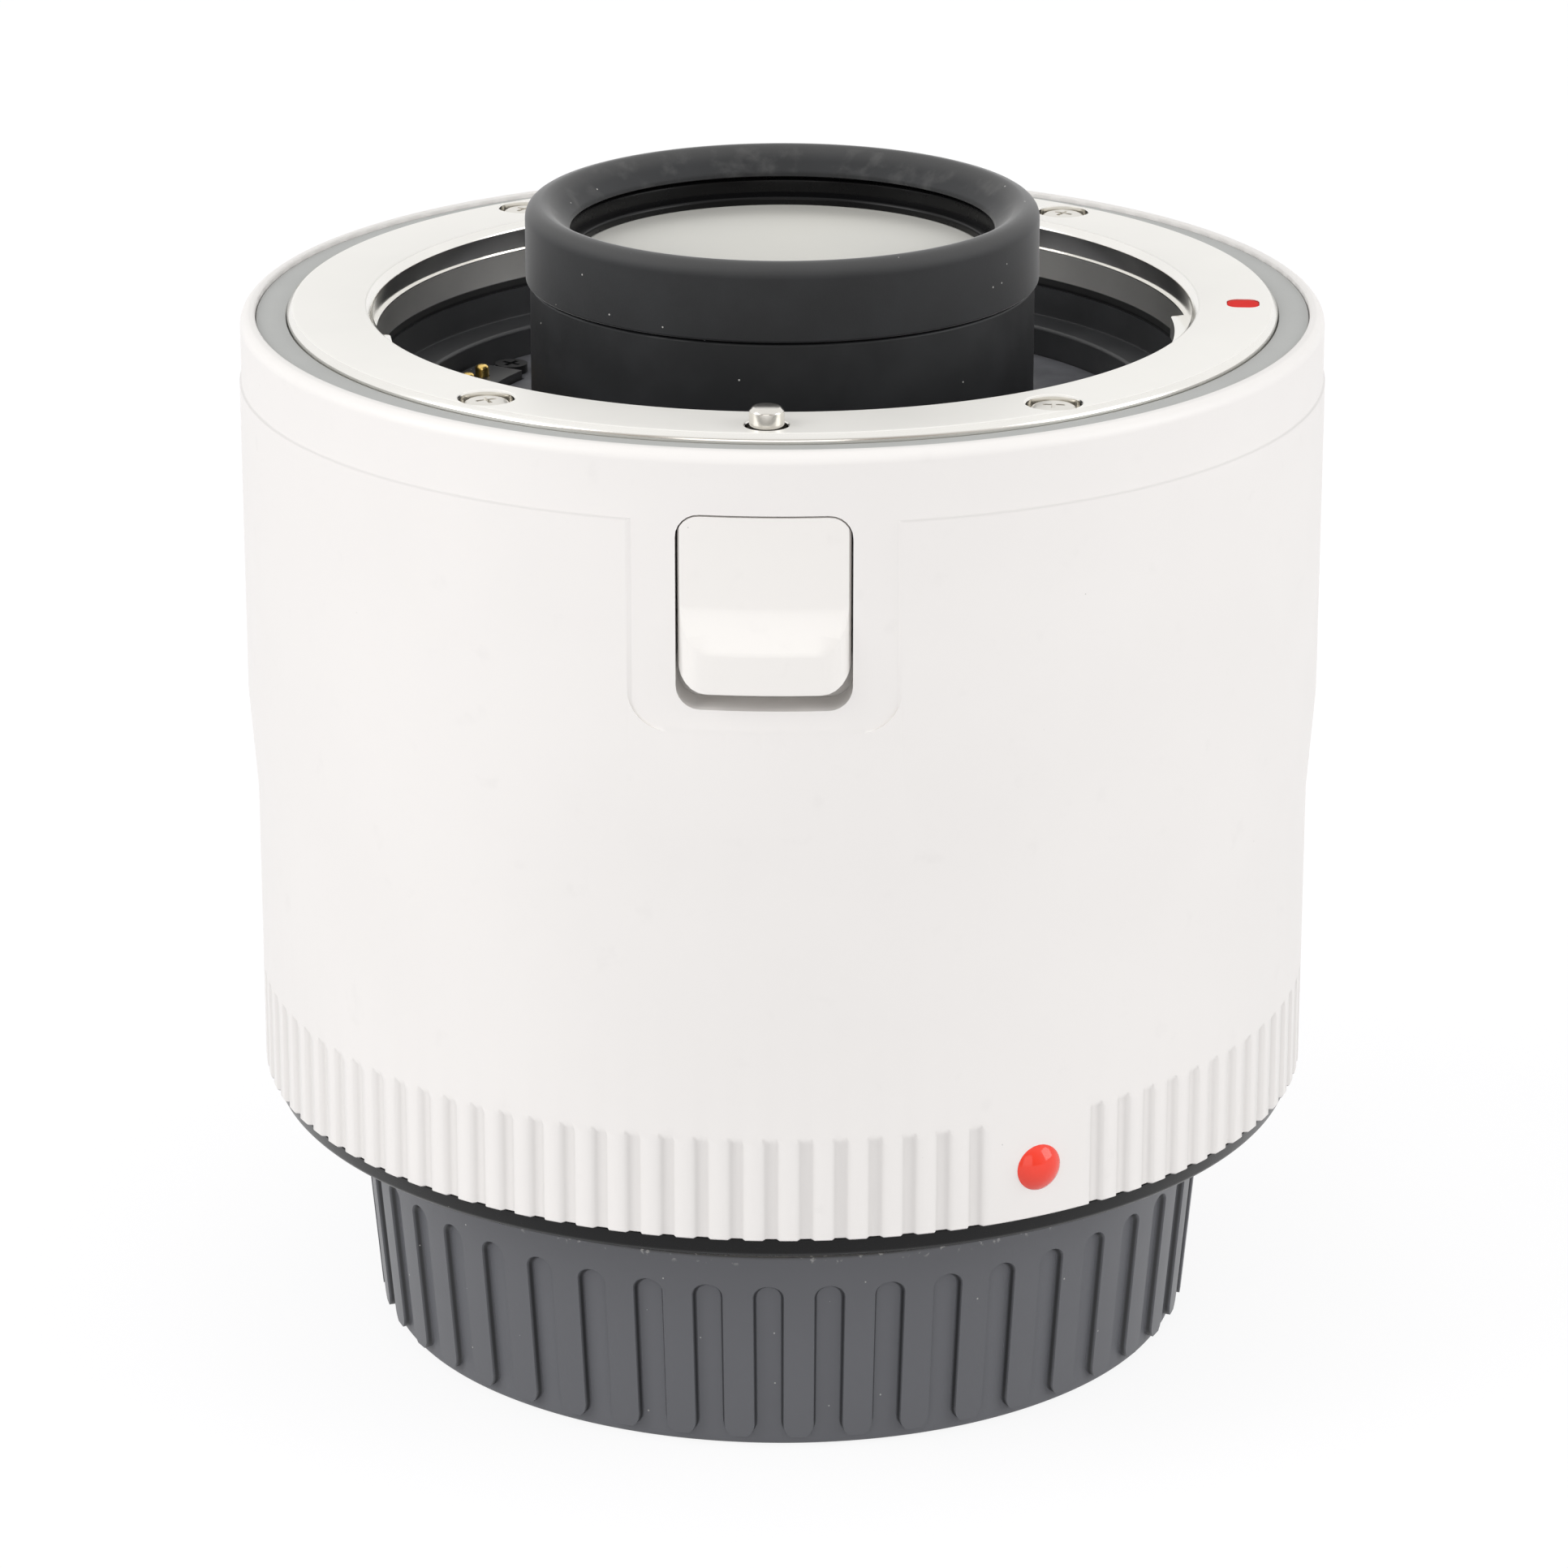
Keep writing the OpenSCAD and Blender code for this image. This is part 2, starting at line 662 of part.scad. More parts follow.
module contact_block_screws() {
    color("dimgray")
        for (side = [-1, 1])
            at(contact_az + side * ear_az, contact_r, z_floor + block_head_t)
                cross_screw(block_head_d, block_head_t, block_screw_d,
                            block_head_t + liner_wall + block_depth - over);
}

module contact_pin(i) {
    r = contact_d / 2;
    tip = r * 0.45;
    color("gold") at(pin_az(i), contact_r) rotate_extrude() polygon([
        [0, z_shoulder], [shoulder_r, z_shoulder], [shoulder_r, z_shoulder + shoulder_t],
        [r, z_shoulder + shoulder_t], [r, z_block + contact_out - tip],
        [r - tip, z_block + contact_out], [0, z_block + contact_out]
    ]);
}

module contact_springs() {
    color("silver")
        for (i = [1 : contact_n])
            at(pin_az(i), contact_r, z_block_low)
                coil(contact_coil_r, contact_wire_r, z_shoulder - z_block_low, contact_turns,
                     steps = 8, sides = 4);
}

module circuit_board() {
    color("darkgreen") sector(contact_az, ear_span, board_in_r, board_out_r, z_board, z_block_low);
}

module control_chip() {
    color("#2b2b2b")
        at(contact_az + ear_span / 4, (board_in_r + board_out_r) / 2, z_board - chip_t)
            translate([-chip_w / 2, -chip_w / 2, 0]) cube([chip_w, chip_w, chip_t]);
}

module flex_strip(r_in, r_out, z_low, z_high) {
    at(contact_az, r_out, z_low) translate([-flex_w / 2, 0, 0]) cube([flex_w, r_out - r_in, z_high - z_low]);
}

module flex_cable() {
    color("darkorange") {
        flex_strip(block_out_r, flex_r + flex_t, z_board - flex_t, z_board);
        flex_strip(flex_r, flex_r + flex_t, z_rear_block, z_board);
        flex_strip(bayonet_bore_r - flex_lap, flex_r + flex_t, z_rear_block, z_rear_block + flex_t);
    }
}

module front_barrel() {
    color("#262626") rotate_extrude() polygon([
        [front_rim_r, z_nose_low], [nose_r, z_nose_low], [nose_r, z_seam], [nose_lip_r, z_seam],
        [nose_lip_r, nose_tip], [nose_bore_r, nose_tip], [nose_bore_r, z_nose_seat],
        [front_rim_r, z_nose_seat]
    ]);
}

// Ring that clamps the front barrel to the top of the lens tube
module nose_clamp_ring() {
    color("#2a2a2a") ring(nose_r + run, tube_r, z_tube, z_floor_low);
}

module front_bumper() {
    outer = 1;
    inner = 0.35;
    color("#1e1e1e") rotate_extrude() polygon(concat(
        [[nose_lip_r, z_seam], [bumper_r, z_seam]],
        [for (a = [0 : 15 : 90]) [bumper_r - outer * (1 - cos(a)), z_top - outer * (1 - sin(a))]],
        [for (a = [90 : 30 : 180]) [nose_bore_r + inner * (1 + cos(a)), z_top - inner * (1 - sin(a))]],
        [[nose_bore_r, nose_tip], [nose_lip_r, nose_tip]]
    ));
}

module front_retaining_ring() {
    wide_r = front_rim_r + ring_w / 2;
    r = nose_bore_r - fit / 2;
    color("#333333") rotate_extrude() polygon([
        [front_rim_r, z_glass], [r, z_glass], [r, z_front_ring], [wide_r, z_front_ring],
        [wide_r, z_glass + ring_t * 0.45], [front_rim_r, z_glass + ring_t * 0.3]
    ]);
}

module lens_element(i) {
    k = i - 1;
    r = lens_r(k);
    clear = clear_r(k);
    steps = 12;
    x = [for (s = [0 : steps]) clear * s / steps];
    upper = [for (s = [0 : steps]) [x[s], lens_top(k) + dish_z(x[s], clear, LENS[k][1])]];
    lower = [for (s = [steps : -1 : 0]) [x[s], lens_low(k) + dish_z(x[s], clear, LENS[k][2])]];
    color("lightcyan", 0.5)
        rotate_extrude() polygon(concat(upper, [[r, lens_top(k)], [r, lens_low(k)]], lower));
}

// Spacers sit on top of lenses 3, 6, 7 and 9
SPACER_ON = [2, 5, 6, LAST_LENS];
module lens_spacer(i) {
    below = SPACER_ON[i - 1];
    above = below == FRONT_LENSES ? z_nose_low : lens_low(below - 1);
    color("#303030") ring(tube_bore_r - lens_rim, tube_bore_r - fit / 2, lens_top(below), above);
}

module rear_retaining_ring() {
    color("#303030") ring(tube_bore_r - lens_rim, tube_bore_r - fit / 2, z_tube_low, lens_low(LAST_LENS));
}

module lens_tube() {
    color("#2a2a2a") difference() {
        union() {
            ring(tube_bore_r, tube_r, z_tube_low, z_tube);
            ring(tube_bore_r, tube_flange_r, z_tube_shelf, z_tube_shelf + tube_flange_t);
        }
        for (az = TUBE_SCREW_AZ)
            at(az, tube_screw_r, z_tube_shelf - over)
                cylinder(d = screw_d + fit, h = tube_flange_t + 2 * over);
        flex_gap(z_tube_shelf - over, z_tube_shelf + tube_flange_t + over);
    }
}

module lens_tube_screws() {
    head_t = 0.9;
    color("silver")
        for (az = TUBE_SCREW_AZ)
            at(az, tube_screw_r, z_tube_shelf + tube_flange_t + head_t)
                cross_screw(screw_head_d, head_t, screw_d, head_t + tube_flange_t + tube_shelf_t);
}

module rear_light_baffle() {
    thickness = 1.6;
    reach = 1;
    color("#1c1c1c") ring(tube_bore_r - lens_rim - reach, tube_r - fit, z_tube_low - thickness, z_tube_low);
}

module rear_collar() {
    edge = 0.5;
    lip_r_top = grip_r - groove_depth;
    lip_r_low = lip_r_top - edge;
    color("#111111") difference() {
        rotate_extrude() polygon(concat(
            [[collar_in_r, z_collar]],
            [for (a = [-90 : 15 : 0]) [lip_r_low - edge + edge * cos(a), z_collar + edge + edge * sin(a)]],
            [[lip_r_top, z_white], [bore_r - fit, z_white], [bore_r - fit, z_white + collar_plug],
             [collar_in_r, z_white + collar_plug]]
        ));
        for (k = [1 : rear_screw_n])
            at(k * 360 / rear_screw_n - 45, rear_screw_r, z_collar - over)
                cylinder(d = rear_screw_d, h = rear_screw_l - rear_rim_t + over);
    }
}

module rear_mount() {
    color("lightgray") difference() {
        union() {
            rotate_extrude() polygon([
                [bayonet_bore_r, z_bayonet], [bayonet_r, z_bayonet], [bayonet_r, z_rear],
                [rear_land_r, z_rear], [rear_land_r, z_rear_rim], [rear_flange_r, z_rear_rim],
                [rear_flange_r, z_collar], [bayonet_bore_r, z_collar]
            ]);
            for (a = LUGS)
                sector(dome_az + a, bayonet_lug_span, bayonet_bore_r, bayonet_lug_r,
                       z_bayonet, z_bayonet + bayonet_lug_t);
        }
        for (k = [1 : rear_screw_n])
            at(k * 360 / rear_screw_n - 45, rear_screw_r, z_rear_rim - over) {
                cylinder(d = rear_screw_d + fit, h = rear_rim_t + 2 * over);
                cylinder(d = rear_head_d + 2 * fit, h = rear_head_t + fit + over);
            }
    }
}

module rear_mount_screws() {
    color("silver")
        for (k = [1 : rear_screw_n])
            at(k * 360 / rear_screw_n - 45, rear_screw_r, z_rear_rim + fit)
                rotate([180, 0, 0])
                    cross_screw(rear_head_d, rear_head_t, rear_screw_d, rear_screw_l - fit);
}

module rear_contact_block() {
    color("#1a1a1a") {
        sector(contact_az, block_span, rear_block_in_r, bayonet_bore_r - fit, z_rear_block_low, z_rear_block);
        sector(contact_az, block_span, bayonet_bore_r - over, bayonet_bore_r + rear_lip_w,
               z_collar, z_rear_block);
    }
}

module rear_contact_pads() {
    pad_w = 1.5;
    pad_l = 2.4;
    color("gold")
        for (i = [1 : contact_n])
            at(pin_az(i), bayonet_bore_r - pad_inset, z_rear_block_low - pad_t)
                translate([-pad_w / 2, 0, 0]) cube([pad_w, pad_l, pad_t]);
}

module rear_index_dome() {
    color("red")
        at(dome_az, 0, dome_z) rotate([90, 0, 0]) {
            translate([0, 0, dome_seat_r - stem_l]) cylinder(r = stem_r, h = stem_l + run);
            translate([0, 0, dome_seat_r])
                rotate_extrude() polygon(concat(
                    [for (s = [0 : 8])
                        let (x = dome_d / 2 * s / 8) [x, fit + dish_z(x, dome_d / 2, dome_h)]],
                    [[dome_d / 2, 0], [0, 0]]
                ));
        }
}

module release_button() {
    ridge_r = band_r + ridge_out;
    z_ridge = z_button_low + ridge_h;
    color("white") intersection() {
        rotate_extrude() polygon(concat(
            [[button_in_r, z_button_low - over], [ridge_r, z_button_low - over], [ridge_r, z_ridge]],
            [for (a = [0 : 15 : 90]) [ridge_r - ridge_out * sin(a), z_ridge + ramp_h * (1 - cos(a))]],
            [[band_r, z_button + over], [button_in_r, z_button + over]]
        ));
        front_plate(window_w - 2 * button_gap, z_button_low, z_button, tongue_corner / 2,
                    pocket_y, ridge_r + over);
    }
}

module release_carrier() {
    color("#3a3a3a") difference() {
        intersection() {
            ring(carrier_in_r, button_in_r, z_carrier_low, z_carrier);
            translate([-carrier_w / 2, -barrel_r, z_carrier_low - over])
                cube([carrier_w, barrel_r, z_carrier - z_carrier_low + 2 * over]);
        }
        at(0, lock_r, z_carrier_low + over) cylinder(d = lock_d, h = z_carrier - z_carrier_low);
    }
}

module lock_pin() {
    edge = 0.25;
    r = lock_d / 2;
    z_tip = z_front + lock_out;
    color("gainsboro") at(0, lock_r) rotate_extrude() polygon([
        [0, z_carrier_low + over], [r, z_carrier_low + over], [r, z_tip - edge], [r - edge, z_tip], [0, z_tip]
    ]);
}

module release_spring() {
    color("silver")
        at(0, lock_r, z_tube_shelf)
            coil(release_coil_r, release_wire_r, z_carrier_low - z_tube_shelf, release_turns,
                 steps = 8, sides = 6);
}

module flutes() {
    for (k = [1 : flute_n])
        at(k * 360 / flute_n, cap_at(-over) - flute_depth, -over)
            rotate([atan(cap_draft / z_cap_lip), 0, 0]) rotate([90, 0, 0])
                linear_extrude(over + flute_depth) {
                    translate([-flute_w / 2, 0]) square([flute_w, z_flute - flute_w / 2 + over]);
                    translate([0, z_flute - flute_w / 2 + over]) circle(d = flute_w);
                }
}

module rear_cap() {
    edge = 0.7;
    color("#55585c") {
        difference() {
            rotate_extrude() polygon(concat(
                [[0, 0]],
                [for (a = [-90 : 15 : 0]) [cap_foot_r - edge + edge * cos(a), edge + edge * sin(a)]],
                [[cap_at(cap_foot) - flute_depth, cap_foot], [cap_at(cap_foot), cap_foot], [cap_r, z_cap_lip],
                 [cap_r - cap_lip_t, z_cap_lip], [cap_r - cap_lip_t, cap_h], [cap_bore_r, cap_h],
                 [cap_bore_r, z_cap_step], [cap_step_r, z_cap_step], [cap_step_r, cap_floor], [0, cap_floor]]
            ));
            flutes();
        }
        for (a = LUGS)
            sector(dome_az + a, cap_lug_span, bayonet_r + cap_room, cap_bore_r + fit,
                   z_cap_lug, z_cap_lug + cap_lug_t);
    }
}

main_barrel();
trim_ring();
front_mount_ring();
front_mount_screws();
front_index_mark();
leaf_spring_plate();
throat_liner();
throat_floor();
front_contact_block();
contact_block_screws();
contact_springs();
circuit_board();
control_chip();
flex_cable();
front_barrel();
nose_clamp_ring();
front_bumper();
front_retaining_ring();
lens_tube();
lens_tube_screws();
for (i = [1 : len(LENS)])
    lens_element(i);
for (i = [1 : len(SPACER_ON)])
    lens_spacer(i);
rear_retaining_ring();
rear_light_baffle();
rear_collar();
rear_mount();
rear_mount_screws();
rear_contact_block();
rear_contact_pads();
rear_index_dome();
release_button();
release_carrier();
lock_pin();
release_spring();
rear_cap();
for (i = [1 : contact_n])
    contact_pin(i);
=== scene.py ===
"""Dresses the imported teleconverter: shaped pieces, finishes and a plain studio around the CAD frame."""

import math
from types import SimpleNamespace

import bmesh
import bpy
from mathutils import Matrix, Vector


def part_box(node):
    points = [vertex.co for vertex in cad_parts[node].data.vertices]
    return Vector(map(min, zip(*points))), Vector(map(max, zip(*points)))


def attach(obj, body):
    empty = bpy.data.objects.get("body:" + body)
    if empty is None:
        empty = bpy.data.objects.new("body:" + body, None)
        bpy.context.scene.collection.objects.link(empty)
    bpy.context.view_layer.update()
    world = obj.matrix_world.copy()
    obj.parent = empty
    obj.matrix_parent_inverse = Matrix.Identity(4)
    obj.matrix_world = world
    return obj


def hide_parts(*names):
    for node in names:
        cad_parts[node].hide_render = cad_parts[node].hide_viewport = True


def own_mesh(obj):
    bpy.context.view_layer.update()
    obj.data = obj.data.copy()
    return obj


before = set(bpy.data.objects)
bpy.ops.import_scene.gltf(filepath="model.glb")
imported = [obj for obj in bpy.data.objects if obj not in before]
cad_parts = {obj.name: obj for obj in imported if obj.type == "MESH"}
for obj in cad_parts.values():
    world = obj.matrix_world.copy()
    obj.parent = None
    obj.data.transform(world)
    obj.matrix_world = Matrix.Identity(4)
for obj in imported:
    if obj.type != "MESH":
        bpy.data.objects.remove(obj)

bl_info = {
    "name": "Teleconverter dressing",
    "version": (1, 0, 0),
    "blender": (4, 5, 0),
    "location": "View3D > Sidebar > Teleconverter",
    "description": "Models the visible pieces of a camera teleconverter over its CAD frame",
    "category": "Object",
}

MM = 0.001
# Distance in metres below which two points count as one
HAIR = 2e-6
FULL_TURN = 2 * math.pi
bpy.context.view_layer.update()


def box_mm(node):
    """Lowest and highest corner of a CAD node, in millimetres."""
    low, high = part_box(node)
    return low / MM, high / MM


BARREL_LOW, BARREL_HIGH = box_mm("main_barrel")
MOUNT_HIGH = box_mm("front_mount_ring")[1]
TRIM_HIGH = box_mm("trim_ring")[1]
NOSE_LOW, NOSE_HIGH = box_mm("front_barrel")
BUMPER_LOW, BUMPER_HIGH = box_mm("front_bumper")
RETAINER_LOW, RETAINER_HIGH = box_mm("front_retaining_ring")
GLASS_LOW, GLASS_HIGH = box_mm("lens_element_1")
LINER_LOW, LINER_HIGH = box_mm("throat_liner")
COLLAR_LOW, COLLAR_HIGH = box_mm("rear_collar")
CAP_HIGH = box_mm("rear_cap")[1]
BUTTON_LOW, BUTTON_HIGH = box_mm("release_button")
LOCK_LOW, LOCK_HIGH = box_mm("lock_pin")
SPRINGS_LOW = box_mm("contact_springs")[0]


def length(name, description, millimetres):
    """A size that a user may change."""
    return bpy.props.FloatProperty(
        name=name, description=description, default=millimetres * MM, unit="LENGTH", precision=5
    )


def direction(name, description, degrees):
    """A direction around the axis, from the button towards the index mark."""
    return bpy.props.FloatProperty(
        name=name, description=description, default=math.radians(degrees), subtype="ANGLE"
    )


def power(name, description, watts):
    """The power of a lamp."""
    return bpy.props.FloatProperty(name=name, description=description, default=watts, unit="POWER")


def linear(red, green, blue):
    """Scene colour of a colour that is written as 0 to 255."""
    return tuple(
        c / 255 / 12.92 if c < 11 else ((c / 255 + 0.055) / 1.055) ** 2.4 for c in (red, green, blue)
    )


def tint(name, description, red, green, blue):
    """A colour that a user may change."""
    return bpy.props.FloatVectorProperty(
        name=name, description=description, default=linear(red, green, blue),
        subtype="COLOR", size=3, min=0.0, max=1.0,
    )


class BarrelSizes(bpy.types.PropertyGroup):
    """Sizes of the white barrel and its index dome."""

    radius: length("Barrel radius", "Widest radius of the white barrel", BARREL_HIGH.x)
    grip_radius: length("Grip radius", "Radius of the grooved end", 35.4)
    band_radius: length("Band radius", "Radius of the top band and of the tongue", 35.78)
    rim_inner: length("Rim inner radius", "Inner radius of the rim around the trim ring", 34.78)
    bore: length("Bore radius", "Inner radius of the barrel", 33.0)
    band_low: length("Band edge", "Height of the lower edge of the band", 65.85)
    taper_low: length("Taper start", "Height where the taper leaves the grip", 37.6)
    taper_high: length("Taper end", "Height where the taper meets the barrel", 44.6)
    groove_top: length("Groove top", "Height of the top of the grooves", BARREL_LOW.z + 7.1)
    groove_depth: length("Groove depth", "Depth of the grip grooves", 0.3)
    groove_fade: length("Groove fade", "Height over which a groove runs out at its top", 0.55)
    rim_round: length("Rim rounding", "Rounding of the outer edge of the rim", 0.8)
    tongue_width: length("Tongue width", "Width of the recess around the button", 17.0)
    tongue_low: length("Tongue bottom", "Height of the lower edge of the tongue", 52.25)
    tongue_corner: length("Tongue corner", "Corner radius of the tongue", 2.6)
    window_width: length("Window width", "Width of the button window", 10.95)
    window_low: length("Window bottom", "Height of the lower edge of the window", 53.75)
    window_high: length("Window top", "Height of the upper edge of the window", 66.3)
    window_corner: length("Window corner", "Corner radius of the window", 1.5)
    dome_direction: direction("Dome direction", "Direction of the red index dome", 29.45)
    dome_height: length("Dome place", "Height of the dome's centre", BARREL_LOW.z + 3.45)
    dome_radius: length("Dome radius", "Radius of the red index dome", 1.575)
    dome_rise: length("Dome rise", "Height of the dome over its seat", 0.7)
    dome_seat: length("Dome seat", "Distance of the dome's seat from the axis", 35.315)


class MountSizes(bpy.types.PropertyGroup):
    """Sizes of the front mount, its screws, marks and throat."""

    flange_radius: length("Flange radius", "Outer radius of the flange", MOUNT_HIGH.x)
    throat: length("Throat radius", "Inner radius of the flange", 27.05)
    throat_bevel: length("Throat bevel", "Bevel around the throat", 0.45)
    edge_bevel: length("Edge bevel", "Bevel of the flange's outer edge", 0.38)
    lip: length("Lip radius", "Inner radius below the flange", 26.85)
    lug: length("Lug radius", "Inner radius of the bayonet lugs", 25.9)
    lug_low: length("Lug bottom", "Height of the underside of the lugs", 67.35)
    lug_high: length("Lug top", "Height of the top of the lugs", 68.75)
    lug_direction: direction("Lug direction", "Direction of the first lug", 67.0)
    screw_place: length("Screw place", "Distance of the flange screws from the axis", 30.5)
    screw_near: direction("Near screws", "Direction of the screws beside the button", 35.5)
    screw_far: direction("Far screws", "Direction of the screws opposite the button", 142.0)
    screw_radius: length("Screw head", "Radius of a flange screw's head", 1.45)
    sink_radius: length("Sink radius", "Radius of the hole around a screw head", 1.75)
    sink_depth: length("Sink depth", "Depth of the hole around a screw head", 1.05)
    pin_place: length("Pin place", "Distance of the lock pin from the axis", 30.4)
    index_direction: direction("Index direction", "Direction of the red index mark", 89.0)
    index_width: length("Index width", "Width of the red index mark", 2.15)


class ReleaseSizes(bpy.types.PropertyGroup):
    """Sizes of the release button and the lock pin."""

    face_radius: length("Face radius", "Radius of the button's upper face", 35.78)
    ridge_radius: length("Ridge radius", "Radius of the finger ridge", -BUTTON_LOW.y)
    back_radius: length("Back radius", "Radius of the back of the button", 32.75)
    ridge_top: length("Ridge top", "Height of the top of the finger ridge", 57.67)
    ramp_top: length("Ramp top", "Height where the ramp meets the upper face", 60.47)
    upper_corner: length("Upper corner", "Corner radius at the button's top", 1.35)
    lower_corner: length("Lower corner", "Corner radius at the button's bottom", 1.8)
    edge_round: length("Edge rounding", "Rounding of the button's edges", 0.32)
    wing_low: length("Wing bottom", "Height of the lower edge of the wing behind the button", 52.6)
    wing_width: length("Wing width", "Width of the wing behind the button", 12.6)
    pin_radius: length("Pin radius", "Radius of the lock pin", LOCK_HIGH.x)
    pin_edge: length("Pin edge", "Bevel at the tip of the lock pin", 0.24)


class NoseSizes(bpy.types.PropertyGroup):
    """Sizes of the black nose and its front glass."""

    radius: length("Nose radius", "Outer radius of the front barrel", NOSE_HIGH.x)
    bumper_radius: length("Bumper radius", "Outer radius of the rubber bumper", BUMPER_HIGH.x)
    bore: length("Nose bore", "Inner radius of the front barrel", NOSE_HIGH.x - 1.6)
    lip: length("Lip radius", "Radius of the lip inside the bumper", NOSE_HIGH.x - 0.9)
    glass_rim: length("Glass rim", "Inner radius of the retaining ring", RETAINER_HIGH.x - 1.4)
    seam: length("Seam height", "Height of the seam under the bumper", BUMPER_LOW.z)
    top_round: length("Top rounding", "Rounding of the bumper's outer edge", 1.0)
    inner_round: length("Inner rounding", "Rounding of the bumper's inner edge", 0.4)
    rim_inner: length("Rim inner radius", "Radius at the top of the bumper's slope", BUMPER_HIGH.x - 1.35)
    slope_foot: length("Slope foot", "Radius at the foot of the bumper's slope", NOSE_HIGH.x - 2.66)
    glass_dish: length("Glass dish", "Depth of the hollow front face of the glass", 2.9)


class CapSizes(bpy.types.PropertyGroup):
    """Sizes of the rear collar and the rear cap."""

    radius: length("Cap radius", "Radius of the cap at its open end", CAP_HIGH.x)
    draft: length("Cap draft", "Loss of radius down to the base", 1.25)
    bore: length("Cap bore", "Inner radius of the cap", 27.05)
    foot: length("Foot height", "Height of the plain foot", 0.8)
    base_round: length("Base rounding", "Rounding of the base", 0.4)
    flute_width: length("Flute width", "Width of a flute", 1.85)
    flute_depth: length("Flute depth", "Depth of a flute", 0.5)
    flute_top: length("Flute top", "Height of the round top of a flute", CAP_HIGH.z - 2.3)
    lip_height: length("Lip height", "Height of the lip around the rear mount", 0.6)
    lip_wall: length("Lip wall", "Thickness of the lip around the rear mount", 0.6)
    collar_radius: length("Collar radius", "Radius of the collar under the grip", COLLAR_HIGH.x)
    collar_low_radius: length("Collar foot", "Radius of the collar at its lower edge", 34.6)


class FinishColours(bpy.types.PropertyGroup):
    """Colours of the finishes."""

    paint: tint("White paint", "Paint of the barrel", 236, 233, 230)
    button: tint("White button", "Moulded button", 237, 234, 230)
    trim: tint("Grey trim", "Ring around the flange", 177, 178, 176)
    chrome: tint("Chromed mount", "Plated edges and walls of the mount", 243, 241, 236)
    satin: tint("Satin face", "Blasted face of the mount", 238, 236, 231)
    steel: tint("Screw steel", "Screws and lock pin", 228, 225, 218)
    spring: tint("Spring steel", "Leaf and coil springs", 176, 174, 168)
    red: tint("Red mark", "Index mark on the flange", 216, 30, 22)
    dome: tint("Red dome", "Index dome on the grip", 240, 62, 42)
    liner: tint("Black liner", "Lining of the throat", 58, 59, 61)
    # Partly the floor's own grey and partly painted light: raised to offset the shade in the throat and
    # stand in for its reflection
    floor: tint("Throat floor", "Satin floor of the throat", 128, 129, 134)
    nose: tint("Black nose", "Anodised nose", 33, 34, 36)
    rubber: tint("Rubber", "Bumper of the nose", 36, 37, 39)
    collar: tint("Gloss black", "Collar under the grip", 12, 12, 13)
    cap: tint("Cap plastic", "Moulded rear cap", 92, 93, 97)
    gold: tint("Gold", "Plated contacts", 240, 206, 122)
    board: tint("Board", "Circuit board lacquer", 22, 70, 44)
    flex: tint("Flex", "Flexible cable", 176, 104, 40)
    glass: tint("Glass", "Tint of the optical glass", 232, 236, 236)


class StageSettings(bpy.types.PropertyGroup):
    """Camera, floor and lamps."""

    camera_place: bpy.props.FloatVectorProperty(
        name="Camera place", description="Where the camera stands",
        default=(0.01286, -0.4057, 0.17835), size=3, subtype="TRANSLATION", unit="LENGTH", precision=5,
    )
    camera_pitch: direction("Camera pitch", "How far the camera looks down", 19.26)
    camera_turn: direction("Camera turn", "How far the camera turns to the left", 1.8)
    lens: bpy.props.FloatProperty(
        name="Lens", description="Focal length on a 36 mm sensor, in millimetres", default=145.4
    )
    floor_size: length("Floor size", "Side of the floor", 8000.0)
    sky_strength: bpy.props.FloatProperty(
        name="Sky strength", description="Light from all round", default=1.03
    )
    front_power: power("Front lamp", "Power of the lamp near the camera", 1.75)
    left_power: power("Left lamp", "Power of the lamp on the left", 3.8)
    right_power: power("Right lamp", "Power of the lamp on the right", 3.1)


GROUPS = {
    "tele_barrel": BarrelSizes,
    "tele_mount": MountSizes,
    "tele_release": ReleaseSizes,
    "tele_nose": NoseSizes,
    "tele_cap": CapSizes,
    "tele_colours": FinishColours,
    "tele_stage": StageSettings,
}


def in_mm(group):
    """The sizes of a group in millimetres, with its directions left in radians."""
    sizes = SimpleNamespace()
    for prop in group.bl_rna.properties:
        if prop.type == "FLOAT":
            value = getattr(group, prop.identifier)
            setattr(sizes, prop.identifier, value / MM if prop.unit == "LENGTH" else value)
    return sizes


def only(piece):
    """Selects one object and makes it active."""
    bpy.ops.object.select_all(action="DESELECT")
    piece.select_set(True)
    bpy.context.view_layer.objects.active = piece


def edit(piece):
    """Opens one object in edit mode."""
    only(piece)
    bpy.ops.object.mode_set(mode="EDIT")


def leave():
    """Goes back to object mode."""
    bpy.ops.object.mode_set(mode="OBJECT")


def all_points():
    """Selects the whole mesh in edit mode."""
    bpy.ops.mesh.select_all(action="SELECT")


def called(piece, name):
    """Names a piece and its mesh."""
    piece.name = name
    piece.data.name = name
    return piece


def pick(piece, kind, test):
    """Selects the points, edges or faces of the piece in edit mode that pass a test."""
    bpy.ops.mesh.select_all(action="DESELECT")
    bpy.ops.mesh.select_mode(type=kind)
    mesh = bmesh.from_edit_mesh(piece.data)
    items = {"VERT": mesh.verts, "EDGE": mesh.edges, "FACE": mesh.faces}[kind]
    for item in items:
        if test(item):
            item.select_set(True)
    mesh.select_flush_mode()
    bmesh.update_edit_mesh(piece.data)


def reach(point):
    """Distance of a point from the optical axis, in millimetres."""
    return math.hypot(point.x, point.y) / MM


def heading(point):
    """Direction of a point around the axis, from the button side."""
    return math.atan2(point.x, -point.y)


